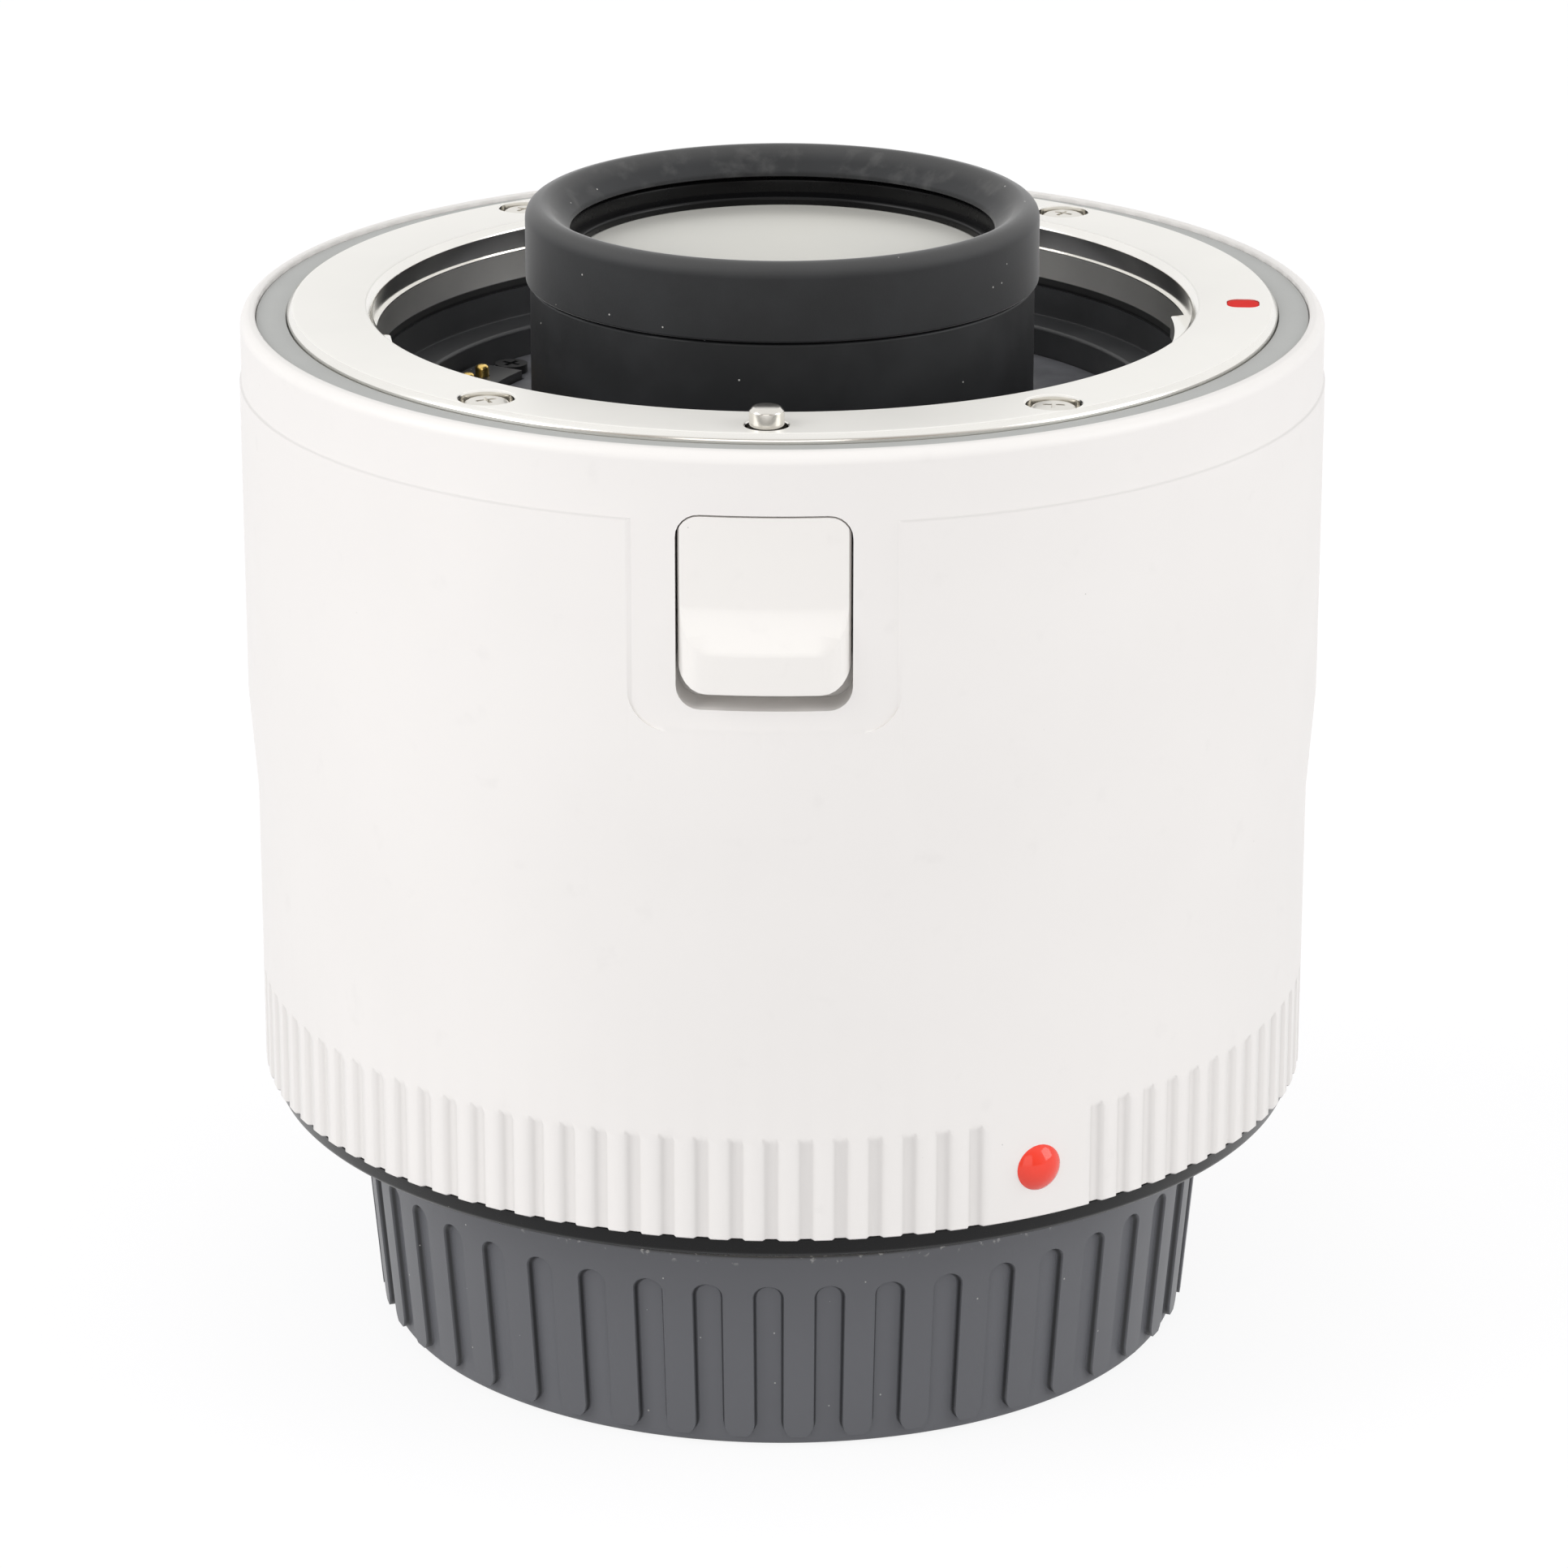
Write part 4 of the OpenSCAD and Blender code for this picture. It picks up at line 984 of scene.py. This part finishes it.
def tongue_cutter(s):
    """What is taken off for the tongue: its floor is turned, and its edges run out in a shallow slope."""
    slope = 0.25
    outer = s.radius + CLEAR
    floor = s.band_radius + 0.004
    fall = slope / (s.radius - floor)
    cutter = turned(
        "tongue_ring",
        [(floor, s.tongue_low + slope), (outer, s.tongue_low + slope - (outer - floor) * fall),
         (outer, s.band_low + 0.3), (floor, s.band_low + 0.3)], 600,
    )
    half = s.tongue_width / 2
    edge = (half, -math.sqrt(s.radius ** 2 - half ** 2))
    foot = (half - slope, -math.sqrt(floor ** 2 - (half - slope) ** 2))

    def along(x):
        return foot[1] + (edge[1] - foot[1]) * (x - foot[0]) / slope

    wide, narrow = half + 2, half - 0.5
    right = [(narrow, -s.bore), (narrow, along(narrow)), (wide, along(wide)), (wide, -outer)]
    plan = right + [(-x, y) for x, y in reversed(right)]
    low, high = s.tongue_low - 5, s.band_low + 2
    flare = plate("tongue_flare", [(x, y, low) for x, y in plan], (0, 0, high - low))
    carve(cutter, flare, "INTERSECT")
    corners = plate(
        "tongue_corners", upright(s.tongue_width + 0.02, s.tongue_low - 0.01, high, -outer - 1),
        (0, outer + 1 - s.bore, 0), [((0, 1), s.tongue_corner, 8)],
    )
    return carve(cutter, corners, "INTERSECT")


def index_dome(s):
    """The red dome on the grip, a turned lens shape with a soft rim and a stem behind it."""
    steps = 8
    crown = (s.dome_radius ** 2 + s.dome_rise ** 2) / (2 * s.dome_rise)
    profile = [(s.dome_radius * 0.7, -0.8), (s.dome_radius * 0.7, 0), (s.dome_radius, 0)]
    for k in range(steps, -1, -1):
        r = s.dome_radius * k / steps * 0.985
        profile.append((r, math.sqrt(crown ** 2 - r ** 2) - crown + s.dome_rise + 0.06))
    profile.append((0, -0.8))
    dome = turned("red_index_dome", profile, 48)
    return put(dome, s.dome_direction, (0, -s.dome_seat, s.dome_height), math.pi / 2)


class TELE_OT_barrel(bpy.types.Operator):
    """Models the white barrel and the red index dome."""

    bl_idname = "teleconverter.barrel"
    bl_label = "Barrel and index dome"

    def execute(self, context):
        s = in_mm(context.scene.tele_barrel)
        dress(barrel_shell(s), "white_paint", "barrel", "main_barrel", smooth=55.0)
        dress(index_dome(s), "red_dome", "barrel", "rear_index_dome", smooth=50.0)
        return {"FINISHED"}


LUGS = 3
# Span of a lug, and from the start of one lug to the next
LUG_TURN = math.radians(60)
LUG_PITCH = FULL_TURN / LUGS
LUG_END_ROUND = 0.35
LUG_EDGE_ROUND = 0.12
RING_LOW = 66.3
RING_OUTER = 28.65
SINK_BEVEL = 0.12
LOCK_HOLE = 1.36
LOCK_BEVEL = 0.1
INDEX_DEPTH = 0.4
# The nick in the flange's edge
NICK_DIRECTION = math.radians(-94.2)
NICK_WIDTH = 0.7
NICK_DEPTH = 0.55
NICK_LENGTH = 1.35
# One arm of a screw's cross recess: half its thickness, and its outline across and over the head
RECESS_HALF = 0.13
RECESS = ((-0.2, -0.4), (0.2, -0.4), (0.86, 0.1), (0.86, 0.4), (-0.86, 0.4), (-0.86, 0.1))


def drill(name, radius, bevel, low, front):
    """What is taken out for a hole with a bevelled edge."""
    profile = [
        (0, low), (radius, low), (radius, front - bevel), (radius + bevel, front),
        (radius + bevel, front + 1), (0, front + 1),
    ]
    return turned(name, profile, 48)


def mount_ring(s):
    """The plated mount: a turned ring with three lugs drawn inwards, then drilled."""
    front = MOUNT_HIGH.z
    profile = [
        (s.throat, front - s.throat_bevel), (s.throat + s.throat_bevel, front),
        (s.flange_radius - s.edge_bevel, front), (s.flange_radius, front - s.edge_bevel),
        (s.flange_radius, SEAT_LEVEL), (RING_OUTER, SEAT_LEVEL), (RING_OUTER, RING_LOW), (s.lip, RING_LOW),
        (s.lip, s.lug_low), (s.lip, s.lug_high), (s.throat, s.lug_high),
    ]
    edge = s.lug_direction - LUG_TURN / 2
    ring = turned("mount_ring", profile, 360, [((0, 1), 0.09, 2), ((2, 3), 0.12, 3)], edge)

    def lug_wall(face):
        middle = face.calc_center_median()
        ahead = (heading(middle) - edge) % LUG_PITCH
        level = s.lug_low * MM < middle.z < s.lug_high * MM
        return level and abs(reach(middle) - s.lip) < 0.05 and ahead < LUG_TURN

    edit(ring)
    pick(ring, "FACE", lug_wall)
    bpy.ops.mesh.extrude_region_move(TRANSFORM_OT_translate={"value": (0, 0, 0)})
    draw_in(s.lug / s.lip)

    def lug_end(e):
        a, b = (v.co for v in e.verts)
        ahead = (heading((a + b) / 2) - edge) % LUG_PITCH
        at_end = min(ahead, LUG_PITCH - ahead, abs(ahead - LUG_TURN)) < 0.002
        upright_edge = abs(a.z - b.z) > 0.5 * MM
        return at_end and upright_edge and max(reach(a), reach(b)) < s.lug + 0.05

    pick(ring, "EDGE", lug_end)
    bpy.ops.mesh.bevel(offset=LUG_END_ROUND * MM, segments=4, affect="EDGES")

    def lug_rim(e):
        near = all(reach(v.co) < s.lug + LUG_END_ROUND + 0.05 for v in e.verts)
        return near and all(abs(v.co.z - s.lug_high * MM) < 0.05 * MM for v in e.verts)

    pick(ring, "EDGE", lug_rim)
    bpy.ops.mesh.bevel(offset=LUG_EDGE_ROUND * MM, segments=2, affect="EDGES")
    close_up(ring)
    sink = drill("sink_cutter", s.sink_radius, SINK_BEVEL, front - s.sink_depth, front)
    put(sink, 0.0, (0, -s.screw_place, 0))
    carve(ring, around(sink, "sinks", screw_directions(s)))
    lock_hole = drill("lock_hole", LOCK_HOLE, LOCK_BEVEL, SEAT_LEVEL - 1, front)
    carve(ring, put(lock_hole, 0.0, (0, -s.pin_place, 0)))
    carve(ring, index_block("index_seat", s, s.index_width, front - INDEX_DEPTH, front + 1))
    outline = upright(NICK_WIDTH, front - NICK_DEPTH, front + 1, -s.flange_radius - 1)
    carve(ring, put(plate("edge_nick", outline, (0, NICK_LENGTH, 0)), NICK_DIRECTION))
    return ring


def screw_directions(s):
    """Where the four flange screws stand."""
    return -s.screw_far, -s.screw_near, s.screw_near, s.screw_far


def index_block(name, s, width, low, high):
    """A rounded square column at the index mark's place."""
    half = width / 2
    corners = [(-half, -half, low), (half, -half, low), (half, half, low), (-half, half, low)]
    block = plate(name, corners, (0, 0, high - low), [((0, 1, 2, 3), 0.7, 5)])
    return put(block, s.index_direction, (0, -s.pin_place, 0))


def index_mark(s):
    """The red inlay in the flange, slightly crowned."""
    front = MOUNT_HIGH.z
    mark = index_block("red_index_mark", s, s.index_width - 0.05, front - INDEX_DEPTH, front - 0.07)
    edit(mark)
    for rise in (0.035, 0.02):
        pick(mark, "FACE", lambda face: face.normal.z > 0.9 and face.calc_area() > 0.4 * MM * MM)
        bpy.ops.mesh.inset(thickness=0.18 * MM)
        bpy.ops.transform.translate(value=(0, 0, rise * MM))
    return close_up(mark)


def flange_screws(s):
    """Four crowned screws with a cross recess."""
    top = MOUNT_HIGH.z - 0.15
    foot, seat = top - 3.4, top - 0.9
    shank = 0.8
    head = turned(
        "screw_head",
        [(0, foot), (shank, foot), (shank, seat), (s.screw_radius, seat),
         (s.screw_radius, top - 0.22), (s.screw_radius - 0.3, top - 0.04), (0.5, top), (0, top)],
        48, [((4, 5), 0.1, 2)],
    )
    side = [(x, -RECESS_HALF, top + z) for x, z in RECESS]
    for az in (0.0, math.pi / 2):
        carve(head, put(plate("recess_arm", side, (0, 2 * RECESS_HALF, 0)), az))
    turned_by = (0.3, -0.5, 0.9, 0.1)
    screws = []
    for k, (az, own) in enumerate(zip(screw_directions(s), turned_by)):
        screw = put(copy_of(head, f"flange_screw_{k + 1}"), own)
        screws.append(put(screw, az, (0, -s.screw_place, 0)))
    bpy.data.objects.remove(head)
    return joined(screws, "flange_screws")


class TELE_OT_front_mount(bpy.types.Operator):
    """Models the front mount ring, the grey trim ring, the screws and the red index mark."""

    bl_idname = "teleconverter.front_mount"
    bl_label = "Front mount"

    def execute(self, context):
        s = in_mm(context.scene.tele_mount)
        dress(mount_ring(s), "mount_steel", "barrel", "front_mount_ring")
        trim = turned(
            "trim_band",
            [(s.flange_radius + 0.05, SEAT_LEVEL), (TRIM_HIGH.x, SEAT_LEVEL), (TRIM_HIGH.x, TRIM_HIGH.z),
             (s.flange_radius + 0.05, TRIM_HIGH.z)], 480, [((2, 3), 0.1, 2)],
        )
        dress(trim, "grey_trim", "barrel", "trim_ring")
        dress(flange_screws(s), "screw_steel", "barrel", "front_mount_screws")
        dress(index_mark(s), "red_inlay", "barrel", "front_index_mark")
        coat("black_tube", "leaf_spring_plate")
        return {"FINISHED"}


LINER_RADIUS = 24.5
LINER_WALL = 1.0
LEDGE_DROP = 2.05
CONTACTS = 8
CONTACT_RADIUS = 0.475
CONTACT_SHOULDER = 0.775
CONTACT_COLLAR = 0.65
# Radius, wire radius and turns of the springs
CONTACT_COIL = (0.495, 0.09, 3)
RELEASE_COIL = (1.25, 0.18, 6)


class TELE_OT_throat(bpy.types.Operator):
    """Models the throat lining and the contact pins with their springs."""

    bl_idname = "teleconverter.throat"
    bl_label = "Throat and contacts"

    def execute(self, context):
        low, high = LINER_LOW.z, LINER_HIGH.z
        lip = context.scene.tele_mount.lip / MM
        ledge = high - LEDGE_DROP
        wall = LINER_WALL
        lining = turned(
            "throat_lining",
            [(LINER_RADIUS, low), (LINER_RADIUS + wall, low), (LINER_RADIUS + wall, ledge - wall),
             (lip + wall, ledge - wall), (lip + wall, high - wall), (LINER_HIGH.x, high - wall),
             (LINER_HIGH.x, high), (lip, high), (lip, ledge), (LINER_RADIUS, ledge)],
            240, [((8,), 0.15, 2), ((9,), 0.25, 4)],
        )
        dress(lining, "black_liner", "barrel", "throat_liner")
        for k in range(1, CONTACTS + 1):
            node = f"contact_pin_{k}"
            low, high = box_mm(node)
            place = ((low.x + high.x) / 2, (low.y + high.y) / 2, 0)
            step = low.z + CONTACT_COLLAR
            pin = turned(
                f"contact_tip_{k}",
                [(0, low.z), (CONTACT_SHOULDER, low.z), (CONTACT_SHOULDER, step), (CONTACT_RADIUS, step),
                 (CONTACT_RADIUS, high.z), (0, high.z)], 32, [((4,), 0.32, 5), ((2,), 0.08, 2)],
            )
            dress(put(pin, 0.0, place), "gold", f"contact_{k}", node, smooth=40.0)
            heights = (SPRINGS_LOW.z, low.z)
            coil = coil_spring(f"contact_coil_{k}", CONTACT_COIL, heights)
            dress_spring(coil, place, "contact_springs")
        coat("throat_grey", "throat_floor")
        coat("black_liner", "front_contact_block")
        coat("black_tube", "contact_block_screws")
        return {"FINISHED"}


RIDGE_END_ROUND = 1.7


def release_button(s):
    """The button: a turned form with a hollow ramp, trimmed to its outline and to round ridge ends."""
    low, high = BUTTON_LOW.z, BUTTON_HIGH.z
    half = BUTTON_HIGH.x
    turns = 7
    ramp = []
    for k in range(turns + 1):
        up = k / turns
        out = s.face_radius + (s.ridge_radius - s.face_radius) * (1 - up) ** 1.35
        ramp.append((out, s.ridge_top + (s.ramp_top - s.ridge_top) * up))
    profile = [(s.back_radius, low - 1), (s.ridge_radius, low - 1)]
    profile += ramp + [(s.face_radius, high + 1), (s.back_radius, high + 1)]
    button = turned("release_key", profile, 144, [((2,), 0.2, 3)])
    outline = plate(
        "button_outline", upright(half * 2, low, high, -s.ridge_radius - 1),
        (0, s.ridge_radius + 1 - s.back_radius + 0.5, 0),
        [((0, 1), s.lower_corner, 6), ((2, 3), s.upper_corner, 6)],
    )
    carve(button, outline, "INTERSECT")
    side = math.sqrt(s.ridge_radius ** 2 - half ** 2) + 0.02
    wide = half + 0.01
    back = 1 - s.back_radius
    plan = [(-wide, back), (wide, back), (wide, -side), (0, -s.ridge_radius - 0.2), (-wide, -side)]
    corners = [(x, y, low - 1) for x, y in plan]
    ends = plate("ridge_ends", corners, (0, 0, high - low + 2), [((2, 4), RIDGE_END_ROUND, 7)])
    carve(button, ends, "INTERSECT")
    soften(button, s.edge_round, 40.0, 3)
    return joined([button, key_wing(s)], "release_key")


def key_wing(s):
    """The thin wing behind the button that keeps it in its window and closes the gap around it."""
    outer, inner = s.back_radius + 0.05, s.back_radius - 0.7
    low, high = s.wing_low, SHELF_TOP - 0.3
    wing = turned("key_wing", [(inner, low), (outer, low), (outer, high), (inner, high)], 144)
    outline = plate(
        "wing_outline", upright(s.wing_width, low - 1, high + 1, -outer - 1), (0, 4, 0),
    )
    return carve(wing, outline, "INTERSECT")


class TELE_OT_release(bpy.types.Operator):
    """Models the release button, its spring and the lock pin that it draws in."""

    bl_idname = "teleconverter.release"
    bl_label = "Release button and lock pin"

    def execute(self, context):
        s = in_mm(context.scene.tele_release)
        place = context.scene.tele_mount.pin_place / MM
        dress(release_button(s), "white_button", "release", "release_button", smooth=38.0)
        pin = turned(
            "lock_pin_rod",
            [(0, LOCK_LOW.z), (s.pin_radius, LOCK_LOW.z), (s.pin_radius, LOCK_HIGH.z - s.pin_edge),
             (s.pin_radius - s.pin_edge, LOCK_HIGH.z), (0, LOCK_HIGH.z)], 48, [((2, 3), 0.05, 2)],
        )
        put(pin, 0.0, (0, -place, 0))
        dress(pin, "pin_steel", "release", "lock_pin")
        coat("white_button", "release_carrier")
        low, high = box_mm("release_spring")
        heights = (low.z, high.z)
        middle = (0, (low.y + high.y) / 2, 0)
        coil = coil_spring("release_coil", RELEASE_COIL, heights)
        dress_spring(coil, middle, "release_spring")
        return {"FINISHED"}


def dish(r, edge, depth):
    """Height of a hollow face below its edge at a distance from the axis."""
    ball = (edge ** 2 + depth ** 2) / (2 * depth)
    return math.sqrt(ball ** 2 - r ** 2) - ball + depth if r < edge else 0.0


# Depth of the lens's lower face at its middle, and halfway out
BACK_HOLLOW = 2.4
BACK_HALFWAY = 1.8


def front_glass(s):
    """The front lens: hollow faces above and below, and a ground rim."""
    steps = 14
    edge = s.glass_rim - 0.1
    top, low = GLASS_HIGH.z, GLASS_LOW.z
    outer = GLASS_HIGH.x
    radii = [edge * k / steps for k in range(steps + 1)]
    upper = [(r, top - dish(r, edge, s.glass_dish)) for r in radii]
    lower = [(edge, low), (edge * 0.5, low + BACK_HALFWAY), (0, low + BACK_HOLLOW)]
    return turned("front_glass", upper + [(outer, top), (outer, low)] + lower, 160)


GLASS_SEAT = 65.98
SEAM_GAP = 0.18


class TELE_OT_nose(bpy.types.Operator):
    """Models the black nose, its rubber bumper, the retaining ring and the front glass."""

    bl_idname = "teleconverter.nose"
    bl_label = "Nose and front glass"

    def execute(self, context):
        s = in_mm(context.scene.tele_nose)
        tip = NOSE_HIGH.z
        under = s.seam + SEAM_GAP
        nose = turned(
            "nose_barrel",
            [(s.glass_rim, NOSE_LOW.z), (s.radius, NOSE_LOW.z), (s.radius, s.seam), (s.lip, s.seam),
             (s.lip, tip), (s.bore, tip), (s.bore, GLASS_SEAT), (s.glass_rim, GLASS_SEAT)],
            256, [((2,), 0.14, 3)],
        )
        dress(nose, "black_nose", "barrel", "front_barrel")
        bumper = turned(
            "rubber_bumper",
            [(s.lip, under), (s.bumper_radius, under), (s.bumper_radius, BUMPER_HIGH.z),
             (s.rim_inner, BUMPER_HIGH.z), (s.slope_foot, tip + 0.3), (s.slope_foot, tip), (s.lip, tip)],
            256, [((1,), 0.16, 3), ((2,), s.top_round, 7), ((3,), s.inner_round, 4), ((4,), 0.12, 3)],
        )
        dress(bumper, "rubber", "barrel", "front_bumper", smooth=40.0)
        low, high = RETAINER_LOW.z, RETAINER_HIGH.z
        outer = RETAINER_HIGH.x
        middle = (s.glass_rim + outer) / 2
        step = low + 0.72
        edge = low + 0.48
        retainer = turned(
            "glass_retainer",
            [(s.glass_rim, low), (outer, low), (outer, high), (middle, high), (middle, step),
             (s.glass_rim, edge)], 240, [((3,), 0.16, 3), ((5,), 0.14, 3)],
        )
        dress(retainer, "gloss_black", "barrel", "front_retaining_ring")
        dress(front_glass(s), "lens_glass", "barrel", "lens_element_1", smooth=20.0)
        return {"FINISHED"}


FLUTES = 45
CAP_FLOOR = 1.6
CAP_STEP = 7.6
CAP_STEP_RADIUS = 25.45
# How much narrower a flute's floor is on each side, the depth of its cutter, and how much wider
# and higher the cutter is at its open side, about a height
FLUTE_SLOPE = 0.14
FLUTE_CUT = 1.2
FLUTE_FLARE = (1.75, 1, 1.12)
FLUTE_MIDDLE = 6.0
COLLAR_BORE = 27.2
COLLAR_PLUG = 32.9


def rear_cap(s):
    """The cap: a drafted cup with round-topped flutes that leave ribs with round feet."""
    top = CAP_HIGH.z

    def wall(z):
        return s.radius - s.draft * (1 - z / top)

    foot = wall(s.foot) - s.flute_depth
    profile = [
        (0, 0), (wall(0) - s.flute_depth, 0), (foot, s.foot), (wall(s.foot), s.foot), (s.radius, top),
        (s.radius - s.lip_wall, top), (s.radius - s.lip_wall, top - s.lip_height),
        (s.bore, top - s.lip_height), (s.bore, CAP_STEP), (CAP_STEP_RADIUS, CAP_STEP),
        (CAP_STEP_RADIUS, CAP_FLOOR), (0, CAP_FLOOR),
    ]
    cap = turned("ribbed_cap", profile, 360, [((1,), s.base_round, 4), ((4,), 0.2, 3), ((5,), 0.1, 2)])
    half = s.flute_width / 2 - FLUTE_SLOPE
    pitch = FULL_TURN * wall(s.foot) / FLUTES
    rib = pitch / 2 - half
    back = -wall(0) + s.flute_depth
    arc = 6
    left = []
    for k in range(arc + 1):
        a = math.pi / 2 * k / arc
        left.append((-pitch / 2 + 0.03 + rib * math.sin(a), s.foot - 0.06 + rib * (1 - math.cos(a))))
    crown = []
    for k in range(1, 2 * arc):
        a = math.pi * k / (2 * arc)
        crown.append((-half * math.cos(a), s.flute_top - half + half * math.sin(a)))
    right = [(-x, z) for x, z in reversed(left)]
    shape = left + [(-half, s.flute_top - half)] + crown + [(half, s.flute_top - half)] + right
    cutter = plate("flute_cutter", [(x, 0, z) for x, z in shape], (0, -FLUTE_CUT, 0))
    edit(cutter)
    pick(cutter, "FACE", lambda face: face.normal.y < -0.9)
    bpy.ops.transform.resize(
        value=FLUTE_FLARE, center_override=(0, -FLUTE_CUT * MM, FLUTE_MIDDLE * MM)
    )
    leave()
    put(cutter, 0.0, (0, back, 0), math.atan(s.draft / top))
    return carve(cap, ring_of(cutter, FLUTES))


class TELE_OT_rear(bpy.types.Operator):
    """Models the glossy collar and the ribbed rear cap, and finishes the rear mount."""

    bl_idname = "teleconverter.rear"
    bl_label = "Collar, rear mount and cap"

    def execute(self, context):
        s = in_mm(context.scene.tele_cap)
        low, high = COLLAR_LOW.z, COLLAR_HIGH.z
        shelf = BARREL_LOW.z
        collar = turned(
            "gloss_collar",
            [(COLLAR_BORE, low), (s.collar_low_radius, low), (s.collar_radius, shelf), (COLLAR_PLUG, shelf),
             (COLLAR_PLUG, high), (COLLAR_BORE, high)], 360, [((1,), 0.5, 5), ((2,), 0.08, 2)],
        )
        dress(collar, "gloss_black", "barrel", "rear_collar")
        dress(rear_cap(s), "cap_plastic", "cap", "rear_cap", smooth=32.0)
        coat("rear_steel", "rear_mount")
        coat("screw_steel", "rear_mount_screws")
        coat("black_liner", "rear_contact_block")
        coat("gold", "rear_contact_pads")
        return {"FINISHED"}


class TELE_OT_inside(bpy.types.Operator):
    """Finishes the pieces inside, which keep their CAD shapes."""

    bl_idname = "teleconverter.inside"
    bl_label = "Pieces inside"

    def execute(self, context):
        coat("black_tube", "lens_tube", "nose_clamp_ring", "rear_retaining_ring", "rear_light_baffle")
        coat("black_tube", *(f"lens_spacer_{k}" for k in range(1, 5)))
        coat("screw_steel", "lens_tube_screws")
        coat("lens_glass", *(f"lens_element_{k}" for k in range(2, 10)))
        coat("board", "circuit_board")
        coat("gloss_black", "control_chip")
        coat("flex", "flex_cable")
        return {"FINISHED"}


# Share of the floor's own glow where it is looked at, and how strong it is
FLOOR_GLOW = 0.72
FLOOR_LIGHT = 1.19
# How much dimmer the tent is overhead than at its sides
OVERHEAD_DIM = 0.42
# Place and size of each lamp, and the point they face, in metres
LAMPS = {
    "front": ((-0.05, -1.0, 0.36), 0.7),
    "left": ((-0.85, -0.3, 0.6), 0.6),
    "right": ((0.95, -0.15, 0.45), 0.6),
}
LIT_POINT = (0.0, 0.0, 0.04)


def floor_finish():
    """A pale sweep that stays near white to the eye and keeps a soft shadow."""
    f = Finish(bpy.data.materials.new("floor_finish"))
    paper = f.surface({
        "Base Color": f.blend(f.noise(40.0, 2.0), (0.55, 0.545, 0.565, 1.0), (0.57, 0.565, 0.58, 1.0)),
        "Roughness": 1.0,
        "Specular IOR Level": 0.0,
    })
    glow = f.node("ShaderNodeEmission", None, {"Color": (1.0, 1.0, 1.0, 1.0), "Strength": FLOOR_LIGHT})
    return f.done(f.node("ShaderNodeMixShader", None, {0: f.seen() * FLOOR_GLOW, 1: paper, 2: glow}))


def studio_sky(strength):
    """A white tent; what is looked at shows the dim room behind the camera too."""
    f = Finish(bpy.data.worlds.new("studio_sky"), "Generated")
    seen = f.seen()
    ahead = f.node("ShaderNodeSeparateXYZ", None, {0: f.spot}, "Y") * -1.0
    room = f.ease(ahead, 0.3, 0.92) * seen
    colour = f.blend(room, (1.0, 1.0, 1.0, 1.0), (0.36, 0.325, 0.29, 1.0))
    overhead = f.node("ShaderNodeSeparateXYZ", None, {0: f.spot}, "Z")
    tent = (1.0 - f.ease(overhead, 0.2, 1.0) * OVERHEAD_DIM) * strength
    level = tent + seen * (1.0 - tent)
    return f.done(f.node("ShaderNodeBackground", None, {0: colour, 1: level}), "ShaderNodeOutputWorld")


def add_lamp(name, place, aim, size, power):
    """A soft square lamp that faces a point."""
    bpy.ops.object.select_all(action="DESELECT")
    bpy.ops.object.light_add(type="AREA", location=place)
    lamp = bpy.context.object
    lamp.name = name
    lamp.data.shape = "SQUARE"
    lamp.data.size = size
    lamp.data.energy = power
    lamp.rotation_euler = (Vector(aim) - Vector(place)).to_track_quat("-Z", "Y").to_euler()


class TELE_OT_stage(bpy.types.Operator):
    """Sets up the floor, the soft lamps, the sky and the camera."""

    bl_idname = "teleconverter.stage"
    bl_label = "Studio"

    def execute(self, context):
        scene = context.scene
        s = scene.tele_stage
        bpy.ops.object.select_all(action="DESELECT")
        bpy.ops.mesh.primitive_plane_add(size=s.floor_size, location=(0, 0, 0))
        floor = bpy.context.object
        floor.name = "studio_floor"
        floor.data.materials.append(floor_finish())
        scene.world = studio_sky(s.sky_strength)
        for side, (place, size) in LAMPS.items():
            add_lamp(f"{side}_lamp", place, LIT_POINT, size, getattr(s, f"{side}_power"))
        bpy.ops.object.camera_add(
            location=s.camera_place, rotation=(math.pi / 2 - s.camera_pitch, 0, s.camera_turn)
        )
        camera = bpy.context.object
        camera.name = "photo_camera"
        camera.data.sensor_width = 36.0
        camera.data.lens = s.lens
        camera.data.clip_start = 0.01
        scene.camera = camera
        scene.view_settings.view_transform = "Standard"
        return {"FINISHED"}


OPERATORS = (
    TELE_OT_barrel, TELE_OT_front_mount, TELE_OT_throat, TELE_OT_release, TELE_OT_nose, TELE_OT_rear,
    TELE_OT_inside, TELE_OT_stage,
)


class TELE_PT_sidebar(bpy.types.Panel):
    """Lists the pieces of the teleconverter in the sidebar."""

    bl_idname = "TELE_PT_sidebar"
    bl_label = "Teleconverter"
    bl_space_type = "VIEW_3D"
    bl_region_type = "UI"
    bl_category = "Teleconverter"

    def draw(self, context):
        for operator in OPERATORS:
            self.layout.operator(operator.bl_idname)


CLASSES = tuple(GROUPS.values()) + OPERATORS + (TELE_PT_sidebar,)


def register():
    """Registers the classes and hangs their settings on the scene."""
    for cls in CLASSES:
        bpy.utils.register_class(cls)
    for name, group in GROUPS.items():
        setattr(bpy.types.Scene, name, bpy.props.PointerProperty(type=group))


def unregister():
    """Takes the settings and the classes away again."""
    for name in GROUPS:
        delattr(bpy.types.Scene, name)
    for cls in reversed(CLASSES):
        bpy.utils.unregister_class(cls)


def main():
    """Builds every piece and the studio."""
    register()
    bpy.ops.teleconverter.barrel()
    bpy.ops.teleconverter.front_mount()
    bpy.ops.teleconverter.throat()
    bpy.ops.teleconverter.release()
    bpy.ops.teleconverter.nose()
    bpy.ops.teleconverter.rear()
    bpy.ops.teleconverter.inside()
    bpy.ops.teleconverter.stage()


if __name__ == "__main__":
    main()
